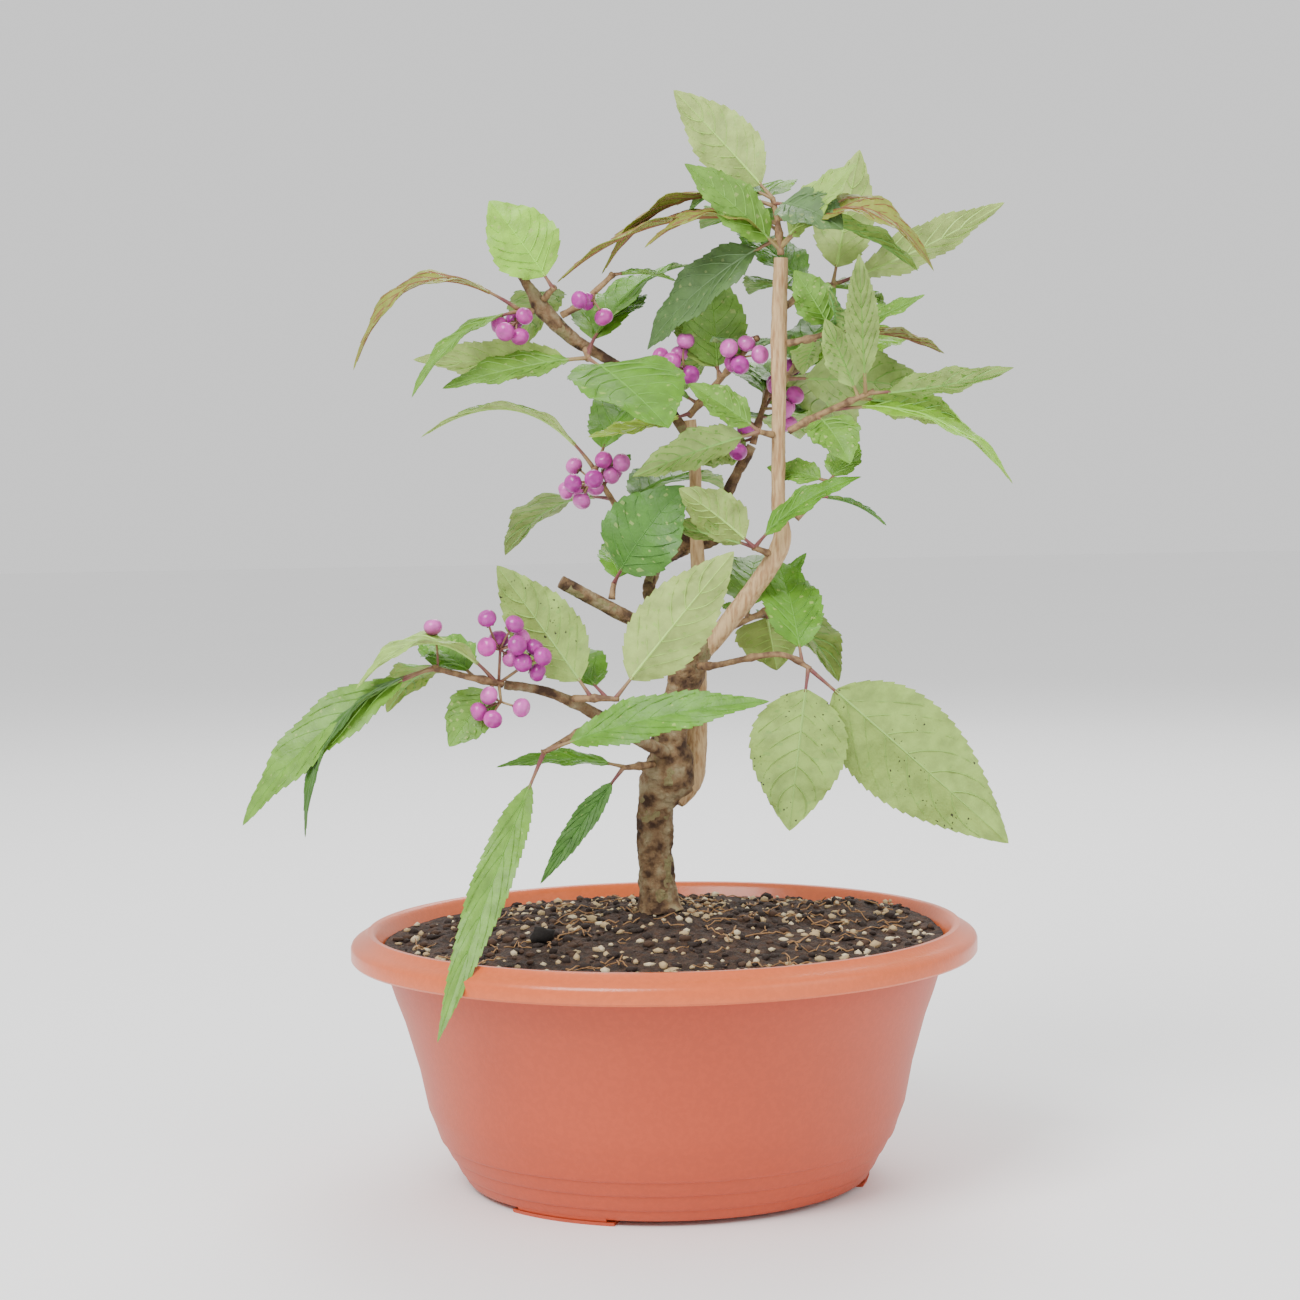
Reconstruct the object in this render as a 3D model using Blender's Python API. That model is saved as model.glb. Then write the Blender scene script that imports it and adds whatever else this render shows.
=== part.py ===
# Potted beautyberry: a small shrub with violet berries, grown in a round plastic bowl pot on three feet.
# Sizes below are in millimetres and angles in degrees. Meshes are made in metres, +Z up, with the origin on the
# ground under the middle of the pot. X is to the right, Y is away from the front, Z is up.

from math import cos, exp, pi, radians, sin, sqrt, tan
from random import Random

import bmesh
import bpy
from mathutils import Matrix, Vector
from mathutils.bvhtree import BVHTree

MM = 0.001
GAP = 0.3  # clear space between neighbouring solids
UP = Vector((0, 0, 1))

# Pot: the outer profile from the foot up, then the inner one down, as (radius, height).
POT_SIDES = 36
POT_WALL = 1.6
FOOT_RADIUS = 50.8
BAND_TOPS = ((52.3, 4.4), (54.6, 8.4), (56.9, 12.2))  # the three stepped bands above the foot
WALL_RADII = ((58.3, 16.2), (59.8, 20.0), (61.8, 30.0), (65.2, 42.0), (67.4, 48.0), (69.3, 54.0))
RIM_INNER_EDGE = (71.6, 62.9)  # where the rim's inside meets the inner wall
RIM_LINE = ((72.5, 64.3), (74.1, 64.3), (76.2, 62.7), (78.2, 60.1), (78.2, 57.3), (76.8, 57.3), (71.5, 58.9),
            (69.8, 57.9))
BAND_STEP = (0.7, 0.8)  # how far in and down each band steps
WALL_RISE = 0.8  # the inner wall follows the outer one this much higher
FLOOR_UNDER = 1.5  # underside of the pot's base between its feet
FLOOR_TOP = 3.4
FOOT_MIDDLES = (-121.5, -1.5, 118.5)  # bearings of the three feet
FOOT_SPAN = 33.0
FOOT_INNER = 44.0
FOOT_OUTER = (50.4, 50.6)  # at the ground and where it enters the base
FOOT_FACETS = 6
FOOT_SUNK = 0.6  # how far a foot block runs up into the base

# Soil: a mound round the trunk, a second heap at the right.
SOIL_RINGS = 5
SOIL_SIDES = 24
SOIL_LEVELS = (4.2, 16.0, 31.0, 48.0, 58.5)  # heights of the rings against the wall
SOIL_TOP_LEVEL = 60.0
SOIL_TOP_CLEAR = 1.2
SOIL_FALL = 5.0  # how far the surface falls from the trunk to the wall
SOIL_FALL_WIDTH = 52.0
TRUNK_FOOT = Vector((-0.8, 8.0, 66.0))
TRUNK_PAD = 9.0  # radius of the level patch that the trunk stands on
SOIL_HEAP = Vector((50.0, 22.0, 0.0))
SOIL_HEAP_HEIGHT = 3.6
SOIL_HEAP_WIDTH = 17.0

# Limbs: where each starts, its steps from there (right, away, up), and its radius at each point.
TRUNK_STEPS = (
    (-0.4, 0.0, 4.5), (-0.6, 0.0, 10.5), (0.4, -1.0, 12.0), (3.0, -1.0, 7.6), (0.8, -1.0, 5.0), (-0.2, -1.0, 5.0),
    (3.4, -1.0, 12.4), (2.6, -1.0, 10.0), (0.9, 0.2, 4.6),
)
TRUNK_RADII = (6.0, 4.9, 4.4, 4.7, 7.2, 5.6, 4.4, 4.1, 5.4, 3.6)
BOUGHS = {
    "back_stem": dict(
        start=(7.4, 8.5, 100.0),
        steps=((1.4, 2.6, 11.0), (0.8, 2.9, 22.0), (0.9, 0.5, 12.0), (-0.3, 1.5, 16.0), (-0.2, 1.0, 19.0),
               (-1.1, 0.0, 10.2)),
        radii=(3.6, 3.2, 2.7, 2.1, 1.65, 1.55, 1.7),
    ),
    "leader": dict(
        start=(8.6, 2.2, 130.0),
        steps=((8.8, -1.2, 9.2), (12.9, -2.0, 18.2), (0.0, 0.0, 12.0), (0.5, -1.0, 24.7), (0.2, 0.0, 13.5),
               (0.8, -1.0, 21.6)),
        radii=(2.7, 2.35, 2.45, 1.75, 1.75, 2.1, 1.75),
    ),
    "stub_bough": dict(
        start=(6.0, 1.0, 132.6),
        steps=((-7.0, -2.0, 4.8), (-13.6, -3.0, 7.6), (-9.4, -2.0, 5.4)),
        radii=(1.9, 1.6, 1.75, 1.6),
    ),
    "rear_bough": dict(
        start=(7.0, 3.5, 134.0),
        steps=((-8.6, 6.6, 9.0), (1.0, 7.4, 9.4), (6.8, 6.0, 6.0), (9.6, 1.8, 3.4), (2.6, 0.6, 9.6),
               (6.6, 1.0, 12.0)),
        radii=(1.7, 1.5, 1.6, 3.3, 2.9, 1.55, 1.25),
    ),
    "upper_left_bough": dict(
        start=(9.2, 16.6, 185.0),
        steps=((-9.4, -1.3, 12.6), (-13.3, -3.2, 9.2), (-6.2, -2.0, 3.8), (-7.3, -2.0, 7.0),
               (-3.4, 0.0, 5.6), (-4.6, 0.0, 7.6)),
        radii=(1.4, 1.3, 1.35, 1.7, 2.2, 1.45, 1.05),
    ),
    "lower_left_bough": dict(
        start=(2.4, 3.0, 106.0),
        steps=((-7.5, -11.0, 5.0), (-11.2, -10.0, 7.7), (-10.2, -6.0, 5.5), (-10.5, -4.0, 2.5)),
        radii=(1.9, 1.55, 1.5, 1.25, 1.15),
    ),
}
LIMB_SIDES = 8
TRUNK_SIDES = 10
CUT_CLEAR = 0.32  # clear space left round a limb that another grows from
TAN_BOUGHS = ("back_stem", "leader")
LIMB_STEP = 6.5  # distance between rings on a limb

# Foliage.
TWIG_SIDES = 3
TWIG_STEP = 8.0
TWIG_RADII = (0.95, 0.6)
LEAST_SLANT = 0.35
PETIOLE_RADIUS = 0.55
PETIOLE_SHARE = 0.13  # share of a leaf's reach that is stalk
LEAF_THICK = 1.1
LEAF_FOLD = 14.0  # how far each half of a blade is raised from flat
LEAF_STATIONS = (0.2, 0.45, 0.74)
BLADE_SKEW = 0.8  # under 1, the widest place lies nearer the stalk
BLADE_FULLNESS = 0.85
BLADE_TAPER = 0.25
BLADE_PEAK = 0.885
BERRY_RADIUS = 2.45
BERRY_APART = 1.85  # least distance between two berries, in radii
BERRY_SPREAD = (0.7, 1.25)
BERRY_LOOSEN = 1.01
STALK_RADIUS = 0.5
HUB_SHARE = 0.75  # where a cluster's shared stalk ends on the way to its middle
SEED = 20
# Ways tried for a piece that would touch something: a push away from the front, or towards it, then a turn.
PUSHES = (0, 4, -4, 8, -8, 13, -13)
TURNS = (7, -7, 14, -14, 21, -21, 30, -30)
PITCHES = (0, 8, -8)

# Each mass: the limb it grows on, how far along that limb, its stem's steps, then its shown leaves as
# (place along the stem, reach (right, away, up), width, arch, turn of the upper face towards the front),
# its berry clusters as (place, reach to the middle, count, spread), and how many leaves the rule adds behind.
MASSES = {
    "top_foliage": dict(
        on="leader", at=1.0, stem=((-0.6, -0.4, 7.0), (-1.2, -0.3, 7.0)), behind=3,
        leaves=(
            (0.98, (-24.0, 4.0, 27.5), 15.5, 15, -65),
            (0.98, (-21.0, 15.0, -2.0), 12.0, 70, 20),
            (0.08, (-23.5, -10.0, 20.5), 12.5, 12, 60),
            (0.85, (-43.0, 12.0, -15.0), 11.0, 80, 0),
            (0.10, (-33.5, -5.0, 0.5), 11.0, 88, 15),
            (0.55, (-55.0, 9.0, -13.0), 12.0, 55, 10),
            (0.90, (16.0, -13.0, -8.0), 16.0, 40, 45),
            (0.12, (37.0, -8.0, -7.0), 12.0, 110, 30),
            (0.14, (18.5, -10.0, 19.0), 13.0, 10, 40),
            (0.30, (-33.0, 18.0, -26.0), 15.0, 40, 50),
        ),
    ),
    "right_fork_foliage": dict(
        on="leader", at=0.88, stem=((6.0, 8.0, 4.0), (8.0, 6.0, 2.5)), behind=2,
        leaves=(
            (0.92, (7.5, 3.0, 34.0), 15.0, 12, -80),
            (0.98, (43.5, 6.4, 20.2), 12.0, -18, -50),
            (0.80, (16.0, 12.0, -5.0), 13.0, 40, 20),
        ),
    ),
    "right_upper_foliage": dict(
        on="leader", at=0.80, stem=((5.0, -3.0, 0.8), (6.5, -4.0, 1.8)), behind=0,
        leaves=(
            (0.90, (-9.0, -1.0, 15.0), 11.0, 20, 60),
            (0.98, (-2.0, -12.0, 9.0), 11.0, 20, 50),
            (0.98, (21.5, -5.0, 8.0), 9.0, -20, 30),
            (0.60, (33.0, 17.0, -4.0), 12.0, 35, 5),
            (0.60, (-3.0, 10.0, -9.0), 9.0, 20, 20),
        ),
    ),
    "right_middle_foliage": dict(
        on="leader", at=0.59, stem=((8.0, -2.0, 4.0), (8.0, -2.0, 3.4), (5.0, -1.0, 2.0)), behind=0,
        leaves=(
            (0.82, (-8.5, -4.0, 19.0), 9.0, 12, -45),
            (0.90, (-3.5, -18.0, 32.0), 8.0, 12, -40),
            (0.94, (35.0, -5.4, 5.4), 10.0, -18, -35),
            (0.80, (27.0, 8.0, -7.0), 12.0, 30, -40),
            (0.50, (46.0, 10.0, -19.0), 14.0, 65, 25),
            (0.34, (7.0, -14.0, -12.0), 13.0, 40, 40),
        ),
    ),
    "right_rear_foliage": dict(
        on="leader", at=0.70, stem=((2.5, 6.5, 3.0), (4.0, 7.0, 2.0)), behind=3,
        leaves=(
            (0.25, (37.0, 7.0, -3.0), 18.0, 15, -50),
            (0.90, (29.0, 13.0, 8.0), 14.0, 35, 40),
        ),
    ),
    "right_lower_foliage": dict(
        on="leader", at=0.36, stem=((4.0, -0.5, 4.2), (4.5, -0.5, 5.0)), behind=0,
        leaves=(
            (0.60, (17.0, -3.0, -7.5), 5.0, 45, 0),
            (0.98, (-15.0, 7.0, 4.0), 8.0, 15, 50),
            (0.98, (8.0, 7.0, 9.5), 9.0, 10, 30),
        ),
    ),
    "leader_front_foliage": dict(
        on="leader", at=0.31, stem=((-3.5, -3.5, 1.5),), behind=0,
        leaves=(
            (0.95, (-18.5, -6.0, 15.0), 12.5, 25, -60),
            (0.95, (26.0, -8.0, 17.0), 9.0, 42, 35),
            (0.80, (-28.0, 2.0, 7.0), 7.5, 20, -40),
        ),
    ),
    "leader_left_foliage": dict(
        on="leader", at=0.59, stem=((-3.5, -3.5, 0.8),), behind=0,
        leaves=(
            (0.95, (-31.5, -8.0, -10.5), 12.0, 15, -50),
            (0.95, (-17.5, -2.0, 12.0), 10.0, 15, 50),
        ),
    ),
    "centre_foliage": dict(
        on="back_stem", at=1.0, stem=((9.0, -7.0, 10.0), (8.5, -5.0, 9.0)), behind=2,
        leaves=(
            (0.45, (-2.0, -4.0, 29.0), 16.0, 10, 80),
            (0.50, (-12.0, 6.0, 20.0), 11.0, 10, 60),
            (0.90, (0.0, -17.0, -1.0), 20.0, 15, 5),
            (0.04, (-26.0, -14.0, -6.0), 9.0, -10, 20),
            (0.15, (-19.0, 3.0, 10.0), 9.0, 15, 10),
        ),
        berries=(
            (0.25, (-7.0, -6.0, 9.0), 7, 5.0),
            (0.70, (2.0, -5.0, 1.0), 5, 4.0),
        ),
    ),
    "rear_foliage": dict(
        on="rear_bough", at=1.0, stem=((2.0, 0.5, 7.0), (2.5, 1.5, 8.0)), behind=5,
        leaves=(
            (0.10, (-17.0, 3.0, -6.0), 13.0, 15, -50),
            (0.30, (-14.0, 8.0, 6.0), 12.0, 15, -30),
        ),
        berries=(
            (0.20, (-5.0, -4.0, -1.0), 4, 4.5),
            (0.60, (7.0, -5.0, 0.0), 4, 4.0),
            (0.95, (4.0, -4.0, 3.0), 3, 3.5),
        ),
    ),
    "middle_left_foliage": dict(
        on="rear_bough", at=0.52, stem=((-7.0, -4.0, 2.6), (-7.5, -6.0, 11.0), (-2.5, -2.0, 5.0)), behind=3,
        leaves=(
            (0.98, (-43.0, -6.0, 8.5), 11.0, 90, 0),
            (0.80, (7.0, 6.0, 8.0), 7.0, 20, 20),
        ),
        berries=(
            (0.76, (-4.5, -3.0, 3.0), 8, 5.0),
            (0.90, (3.0, -1.0, 3.0), 3, 3.4),
        ),
    ),
    "stub_foliage": dict(
        on="stub_bough", at=0.60, stem=((0.6, 1.0, 4.0),), behind=1,
        leaves=(
            (0.95, (18.0, 1.0, 24.0), 21.0, 45, 60),
        ),
    ),
    "upper_left_foliage": dict(
        on="upper_left_bough", at=0.76, stem=((-3.0, -2.4, 0.2),), behind=0,
        leaves=(
            (0.98, (-41.0, -8.0, -14.5), 11.0, 107, 15),
            (0.80, (-27.0, -12.0, -21.5), 8.0, 55, 10),
        ),
        berries=((0.60, (-2.5, -3.0, -4.0), 5, 3.8),),
    ),
    "upper_left_top_foliage": dict(
        on="upper_left_bough", at=0.80, stem=((2.6, -4.0, 2.6),), behind=1,
        leaves=((0.90, (-15.5, 1.0, 22.0), 18.0, 28, 65),),
    ),
    "upper_left_inner_foliage": dict(
        on="upper_left_bough", at=0.72, stem=((4.5, -1.5, 2.4), (6.0, -1.0, 5.0), (2.5, 1.0, 2.5)), behind=0,
        leaves=(
            (0.98, (-16.5, -8.0, 5.5), 6.0, 60, 10),
            (0.98, (16.0, 3.0, -1.5), 6.0, 35, 10),
        ),
        berries=((0.60, (0.0, -3.5, -3.0), 3, 3.6),),
    ),
    "upper_left_low_foliage": dict(
        on="upper_left_bough", at=0.56, stem=((0.6, -4.5, -2.5),), behind=2,
        leaves=(
            (0.90, (-36.0, -8.0, -7.3), 12.0, 15, 35),
            (0.90, (-44.0, 4.0, 0.5), 12.0, -10, -50),
            (0.95, (19.5, -31.0, -18.5), 29.0, 15, 20),
        ),
    ),
    "far_left_foliage": dict(
        on="lower_left_bough", at=1.0, stem=((-8.5, -3.0, 2.2), (-8.0, -2.0, 2.4)), behind=1,
        leaves=(
            (0.99, (-45.0, -8.0, -36.0), 13.0, 60, 45),
            (0.95, (-30.0, -16.0, -38.0), 8.0, 80, 0),
            (0.10, (-32.0, -14.0, 0.0), 13.0, 100, 5),
            (0.40, (-14.0, 13.0, 9.0), 13.0, 30, 30),
            (0.12, (-11.0, -3.0, -15.0), 12.0, 10, 65),
        ),
        berries=(
            (0.06, (1.0, -6.0, 11.0), 7, 4.2),
            (0.06, (8.0, -4.0, 5.5), 4, 3.8),
            (0.06, (1.0, -6.5, -5.5), 4, 4.2),
            (0.92, (-1.0, 1.0, 10.0), 1, 1.0),
        ),
    ),
    "lower_left_foliage": dict(
        on="lower_left_bough", at=0.72, stem=((6.0, -3.0, 0.2), (5.0, -2.0, -0.2)), behind=1,
        leaves=(
            (0.42, (-22.0, -4.0, 32.5), 17.0, 10, -80),
            (0.92, (29.0, -4.0, 35.0), 18.0, 12, -80),
        ),
    ),
    "drooping_foliage": dict(
        on="lower_left_bough", at=0.50, stem=((-6.0, -5.0, -3.0), (-6.0, -4.0, -3.0)), behind=0,
        leaves=(
            (0.98, (54.0, -10.0, 12.0), 11.5, 35, 55),
            (0.98, (-24.0, -41.0, -62.0), 9.0, 25, 60),
        ),
    ),
    "burl_foliage": dict(
        on="trunk", at=0.53, stem=((-5.0, -6.0, 0.0), (-2.5, -2.0, 0.0)), behind=0,
        leaves=(
            (0.90, (-32.0, -4.0, 1.0), 7.0, 32, 25),
            (0.98, (-21.0, -4.0, -28.0), 6.0, 18, 60),
        ),
    ),
    "lower_right_foliage": dict(
        on="trunk", at=0.87, stem=((4.0, -6.0, 0.5), (15.0, -3.0, 2.6), (8.0, -2.0, -3.6)), behind=1,
        leaves=(
            (0.98, (-5.5, -5.0, -39.5), 24.0, 8, -85),
            (0.98, (48.5, -1.0, -44.0), 27.0, 14, -85),
        ),
    ),
    "right_twig_foliage": dict(
        on="trunk", at=0.95, stem=((8.0, 5.0, 3.0), (9.0, 7.0, 4.0)), behind=2,
        leaves=(
            (0.85, (10.0, 3.0, 14.0), 6.0, 10, 30),
            (0.98, (6.0, -5.0, -6.5), 6.0, 10, 30),
            (0.60, (-8.0, 5.0, 3.0), 6.0, 10, 30),
            (0.80, (3.0, 9.0, -16.0), 18.0, 15, -70),
        ),
        berries=((0.90, (1.0, 0.0, 5.0), 1, 1.0),),
    ),
}
BEHIND_BEARING = (45.0, 135.0)  # the rule's leaves point away from the front
BEHIND_RISE = (-25.0, 35.0)
BEHIND_LENGTH = (34.0, 50.0)
BEHIND_WIDTH_SHARE = 0.38
BEHIND_ARCH = (20.0, 60.0)
BEHIND_TURN = 20.0
BEHIND_PLACES = (0.3, 1.0)
BEHIND_TRIES = 30
CROWN_REACH = Vector((98.0, 76.0, 0.0))  # half width and half depth that the rule's leaves stay within

# Colours as linear (red, green, blue), then roughness.
FINISHES = {
    "terracotta": ((0.52, 0.12, 0.065), 0.38),
    "soil": ((0.03, 0.017, 0.011), 0.95),
    "bark": ((0.23, 0.15, 0.085), 0.85),
    "tan_wood": ((0.40, 0.27, 0.15), 0.75),
    "foliage": ((0.19, 0.31, 0.06), 0.6),
}


def finish(name):
    """The plain material of this name, made once."""
    if name in bpy.data.materials:
        return bpy.data.materials[name]
    colour, roughness = FINISHES[name]
    material = bpy.data.materials.new(name)
    material.use_nodes = True
    shader = material.node_tree.nodes["Principled BSDF"]
    shader.inputs["Base Color"].default_value = (*colour, 1)
    shader.inputs["Roughness"].default_value = roughness
    shader.inputs["Metallic"].default_value = 0
    return material


def clear_scene():
    for thing in list(bpy.data.objects):
        bpy.data.objects.remove(thing)
    for mesh in list(bpy.data.meshes):
        bpy.data.meshes.remove(mesh)


def skin(rings, point_end=False):
    """A closed bmesh through rings of points, each with the same count, in millimetres."""
    bm = bmesh.new()
    rows = [[bm.verts.new(Vector(p) * MM) for p in ring] for ring in rings]
    for low, high in zip(rows, rows[1:]):
        for i in range(len(low)):
            j = (i + 1) % len(low)
            bm.faces.new((low[i], low[j], high[j], high[i]))
    bm.faces.new(list(reversed(rows[0])))
    if point_end:
        tip = bm.verts.new(Vector(point_end) * MM)
        for i in range(len(rows[-1])):
            bm.faces.new((rows[-1][i], rows[-1][(i + 1) % len(rows[-1])], tip))
    else:
        bm.faces.new(rows[-1])
    bmesh.ops.triangulate(bm, faces=bm.faces)
    bmesh.ops.recalc_face_normals(bm, faces=bm.faces)
    return bm


def as_object(bm, name, look):
    mesh = bpy.data.meshes.new(name)
    bm.to_mesh(mesh)
    bm.free()
    thing = bpy.data.objects.new(name, mesh)
    mesh.materials.append(finish(look))
    bpy.context.scene.collection.objects.link(thing)
    return thing


def walk(start, steps):
    """The points reached from start by adding each step in turn."""
    points = [Vector(start)]
    for step in steps:
        points.append(points[-1] + Vector(step))
    return points


def smooth(points, radii, spacing):
    """A smooth run through the points, as a list of (point, radius), with at least one sample a spacing."""
    run = []
    last = len(points) - 1
    for i in range(last):
        before = points[max(i - 1, 0)]
        a, b = points[i], points[i + 1]
        after = points[min(i + 2, last)]
        count = max(1, round((b - a).length / spacing))
        for k in range(count):
            t = k / count
            middle = (
                a * 2 + (b - before) * t + (before * 2 - a * 5 + b * 4 - after) * t**2
                + (a * 3 - before - b * 3 + after) * t**3
            ) / 2
            run.append((middle, radii[i] + (radii[i + 1] - radii[i]) * t))
    run.append((points[-1], radii[-1]))
    return run


def tube_rings(run, sides, grow=0.0):
    """Rings square to the run. Each ring keeps the last one's heading, so the tube doesn't twist."""
    rings = []
    side = None
    for i, (point, radius) in enumerate(run):
        ahead = run[min(i + 1, len(run) - 1)][0] - run[max(i - 1, 0)][0]
        ahead.normalize()
        if side is None:
            side = ahead.cross(Vector((0.2, -1.0, 0.1)))
        side = (side - ahead * side.dot(ahead)).normalized()
        other = ahead.cross(side)
        ring = []
        for k in range(sides):
            angle = 2 * pi * k / sides
            ring.append(point + (side * cos(angle) + other * sin(angle)) * (radius + grow))
        rings.append(ring)
    return rings


def on_run(run, share):
    """The point, radius and heading at this share of the run's length."""
    lengths = [0.0]
    for (a, _), (b, _) in zip(run, run[1:]):
        lengths.append(lengths[-1] + (b - a).length)
    want = share * lengths[-1]
    for i in range(len(run) - 1):
        if lengths[i + 1] >= want - 1e-9:
            break
    t = (want - lengths[i]) / (lengths[i + 1] - lengths[i])
    (a, ra), (b, rb) = run[i], run[i + 1]
    return a.lerp(b, t), ra + (rb - ra) * t, (b - a).normalized()


def blade_half(s):
    """Half the blade's width at this share of its length, as a share of the widest half."""
    return sin(pi * s**BLADE_SKEW) ** BLADE_FULLNESS * (1 - BLADE_TAPER * s) / BLADE_PEAK


def leaf_rings(base, reach, width, arch, turn, grow=0.0):
    """A leaf as rings of four points (left edge, top, right edge, underside), and its tip."""
    reach = Vector(reach)
    length = reach.length
    along = reach / length
    facing = Vector((0, -sin(radians(turn)), cos(radians(turn))))
    above = facing - along * facing.dot(along)
    above.normalize()
    across = along.cross(above)
    rise = length * tan(radians(arch) / 2) / 4

    def midrib(t):
        return base + reach * t + above * (rise * 4 * t * (1 - t))

    def ring(t, half, thick):
        centre = midrib(t)
        ahead = (midrib(t + 0.01) - midrib(t - 0.01)).normalized()
        top = across.cross(ahead)
        lift = top * (half * sin(radians(LEAF_FOLD)))
        out = across * (half * cos(radians(LEAF_FOLD)) + grow)
        return [centre - out + lift, centre + top * (thick / 2 + grow), centre + out + lift,
                centre - top * (thick / 2 + grow)]

    rings = [ring(0.0, PETIOLE_RADIUS, 2 * PETIOLE_RADIUS), ring(PETIOLE_SHARE, PETIOLE_RADIUS, 2 * PETIOLE_RADIUS)]
    for s in LEAF_STATIONS:
        t = PETIOLE_SHARE + (1 - PETIOLE_SHARE) * s
        rings.append(ring(t, width / 2 * blade_half(s), LEAF_THICK))
    return rings, base + reach + along * grow


def tree_of(bm):
    """The surface as a search tree for touch tests."""
    return BVHTree.FromBMesh(bm)


class Plant:
    """Holds what has been grown so far, so that each new piece stays clear of it."""

    def __init__(self):
        self.runs = {}
        self.limbs = {}
        self.masses = {}

    def touches(self, bm, own):
        tree = tree_of(bm)
        for limb in self.limbs.values():
            if tree.overlap(limb):
                return True
        for name, pieces in self.masses.items():
            if name != own and any(tree.overlap(piece) for piece in pieces):
                return True
        return False

    def keep(self, bm, own):
        self.masses.setdefault(own, []).append(tree_of(bm))


def turned(reach, yaw, pitch):
    """The reach turned round the vertical by yaw, then raised by pitch."""
    reach = Matrix.Rotation(radians(yaw), 3, "Z") @ reach
    level = Vector((reach.y, -reach.x, 0))
    return Matrix.Rotation(radians(pitch), 3, level) @ reach if pitch else reach


def ways(reach):
    """The reach itself, then the others that are tried in its place."""
    reach = Vector(reach)
    for push in PUSHES:
        yield reach + Vector((0, push, 0))
    for yaw in TURNS:
        for pitch in PITCHES:
            yield turned(reach, yaw, pitch)


def add_leaf(plant, mass, pieces, base, reach, width, arch, turn):
    """Adds the leaf where it is clear of everything outside its own mass, and says whether it did."""
    for way in ways(reach):
        rings, tip = leaf_rings(base, way, width, arch, turn, grow=GAP)
        test = skin(rings, tip)
        clear = not plant.touches(test, mass)
        test.free()
        if clear:
            rings, tip = leaf_rings(base, way, width, arch, turn)
            leaf = skin(rings, tip)
            plant.keep(leaf, mass)
            pieces.append(leaf)
            return True
    return False


def berry_places(rng, middle, count, spread):
    """Places for berries round a middle, none sunk far into another."""
    places = []
    apart = BERRY_APART * BERRY_RADIUS
    while len(places) < count:
        way = Vector((rng.gauss(0, 1), rng.gauss(0, 1), rng.gauss(0, 1))).normalized()
        place = middle + way * (spread * rng.uniform(*BERRY_SPREAD))
        if all((place - other).length > apart for other in places):
            places.append(place)
        else:
            spread *= BERRY_LOOSEN
    return places


def add_berry(plant, mass, pieces, hub, place):
    """One berry on its own stalk from the hub, or nothing where it would touch a neighbour."""
    test = bmesh.new()
    bmesh.ops.create_icosphere(test, subdivisions=1, radius=(BERRY_RADIUS + GAP) * MM,
                               matrix=Matrix.Translation(place * MM))
    clear = not plant.touches(test, mass)
    test.free()
    if not clear:
        return False
    stalk = skin(tube_rings([(hub, STALK_RADIUS), (place, STALK_RADIUS)], TWIG_SIDES))
    if plant.touches(stalk, mass):
        stalk.free()
        return False
    ball = bmesh.new()
    bmesh.ops.create_icosphere(ball, subdivisions=1, radius=BERRY_RADIUS * MM, matrix=Matrix.Translation(place * MM))
    for piece in (stalk, ball):
        plant.keep(piece, mass)
        pieces.append(piece)
    return True


def stem_start(plant, on, at, first):
    """Where a mass's stem starts, just clear of the limb that carries it."""
    point, radius, ahead = on_run(plant.runs[on], at)
    way = Vector(first).normalized()
    along = abs(way.dot(ahead))
    slant = max(LEAST_SLANT, sqrt(max(0.0, 1 - along**2)))
    if at == 1.0:
        return point + ahead * (GAP + TWIG_RADII[0] * slant)
    return point + way * ((radius + GAP + TWIG_RADII[0] * along) / slant)


def add_cluster(plant, mass, pieces, rng, root, reach, count, spread):
    """A cluster of berries on one shared stalk, or a single berry, where there is room for it."""
    if count == 1:
        return int(add_berry(plant, mass, pieces, root, root + Vector(reach)))
    for push in PUSHES:
        way = Vector(reach) + Vector((0, push, 0))
        hub = root + way * HUB_SHARE
        beyond = hub + way.normalized() * STALK_RADIUS
        shared = skin(tube_rings([(root, STALK_RADIUS), (beyond, STALK_RADIUS)], TWIG_SIDES))
        if not plant.touches(shared, mass):
            plant.keep(shared, mass)
            pieces.append(shared)
            places = berry_places(rng, root + way, count, spread)
            return sum(add_berry(plant, mass, pieces, hub, place) for place in places)
        shared.free()
    return 0


def grow_shown(plant, name, on, at, stem, leaves, berries=(), behind=0):
    """Grows a mass's stem, shown leaves and berries. Returns its pieces, its stem's run and its random numbers."""
    rng = Random(f"{SEED} {name}")
    points = walk(stem_start(plant, on, at, stem[0]), stem)
    thick, thin = TWIG_RADII
    radii = [thick + (thin - thick) * i / (len(points) - 1) for i in range(len(points))]
    run = smooth(points, radii, TWIG_STEP)
    body = skin(tube_rings(run, TWIG_SIDES + 1))
    if plant.touches(body, name):
        print(name, "stem touches")
    plant.keep(body, name)
    pieces = [body]
    for i, (place, reach, width, arch, turn) in enumerate(leaves):
        if not add_leaf(plant, name, pieces, on_run(run, place)[0], reach, width, arch, turn):
            print(name, "skips leaf", i)
    for place, reach, count, spread in berries:
        made = add_cluster(plant, name, pieces, rng, on_run(run, place)[0], reach, count, spread)
        if made < count:
            print(name, "has", made, "berries of", count)
    return pieces, run, rng


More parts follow.
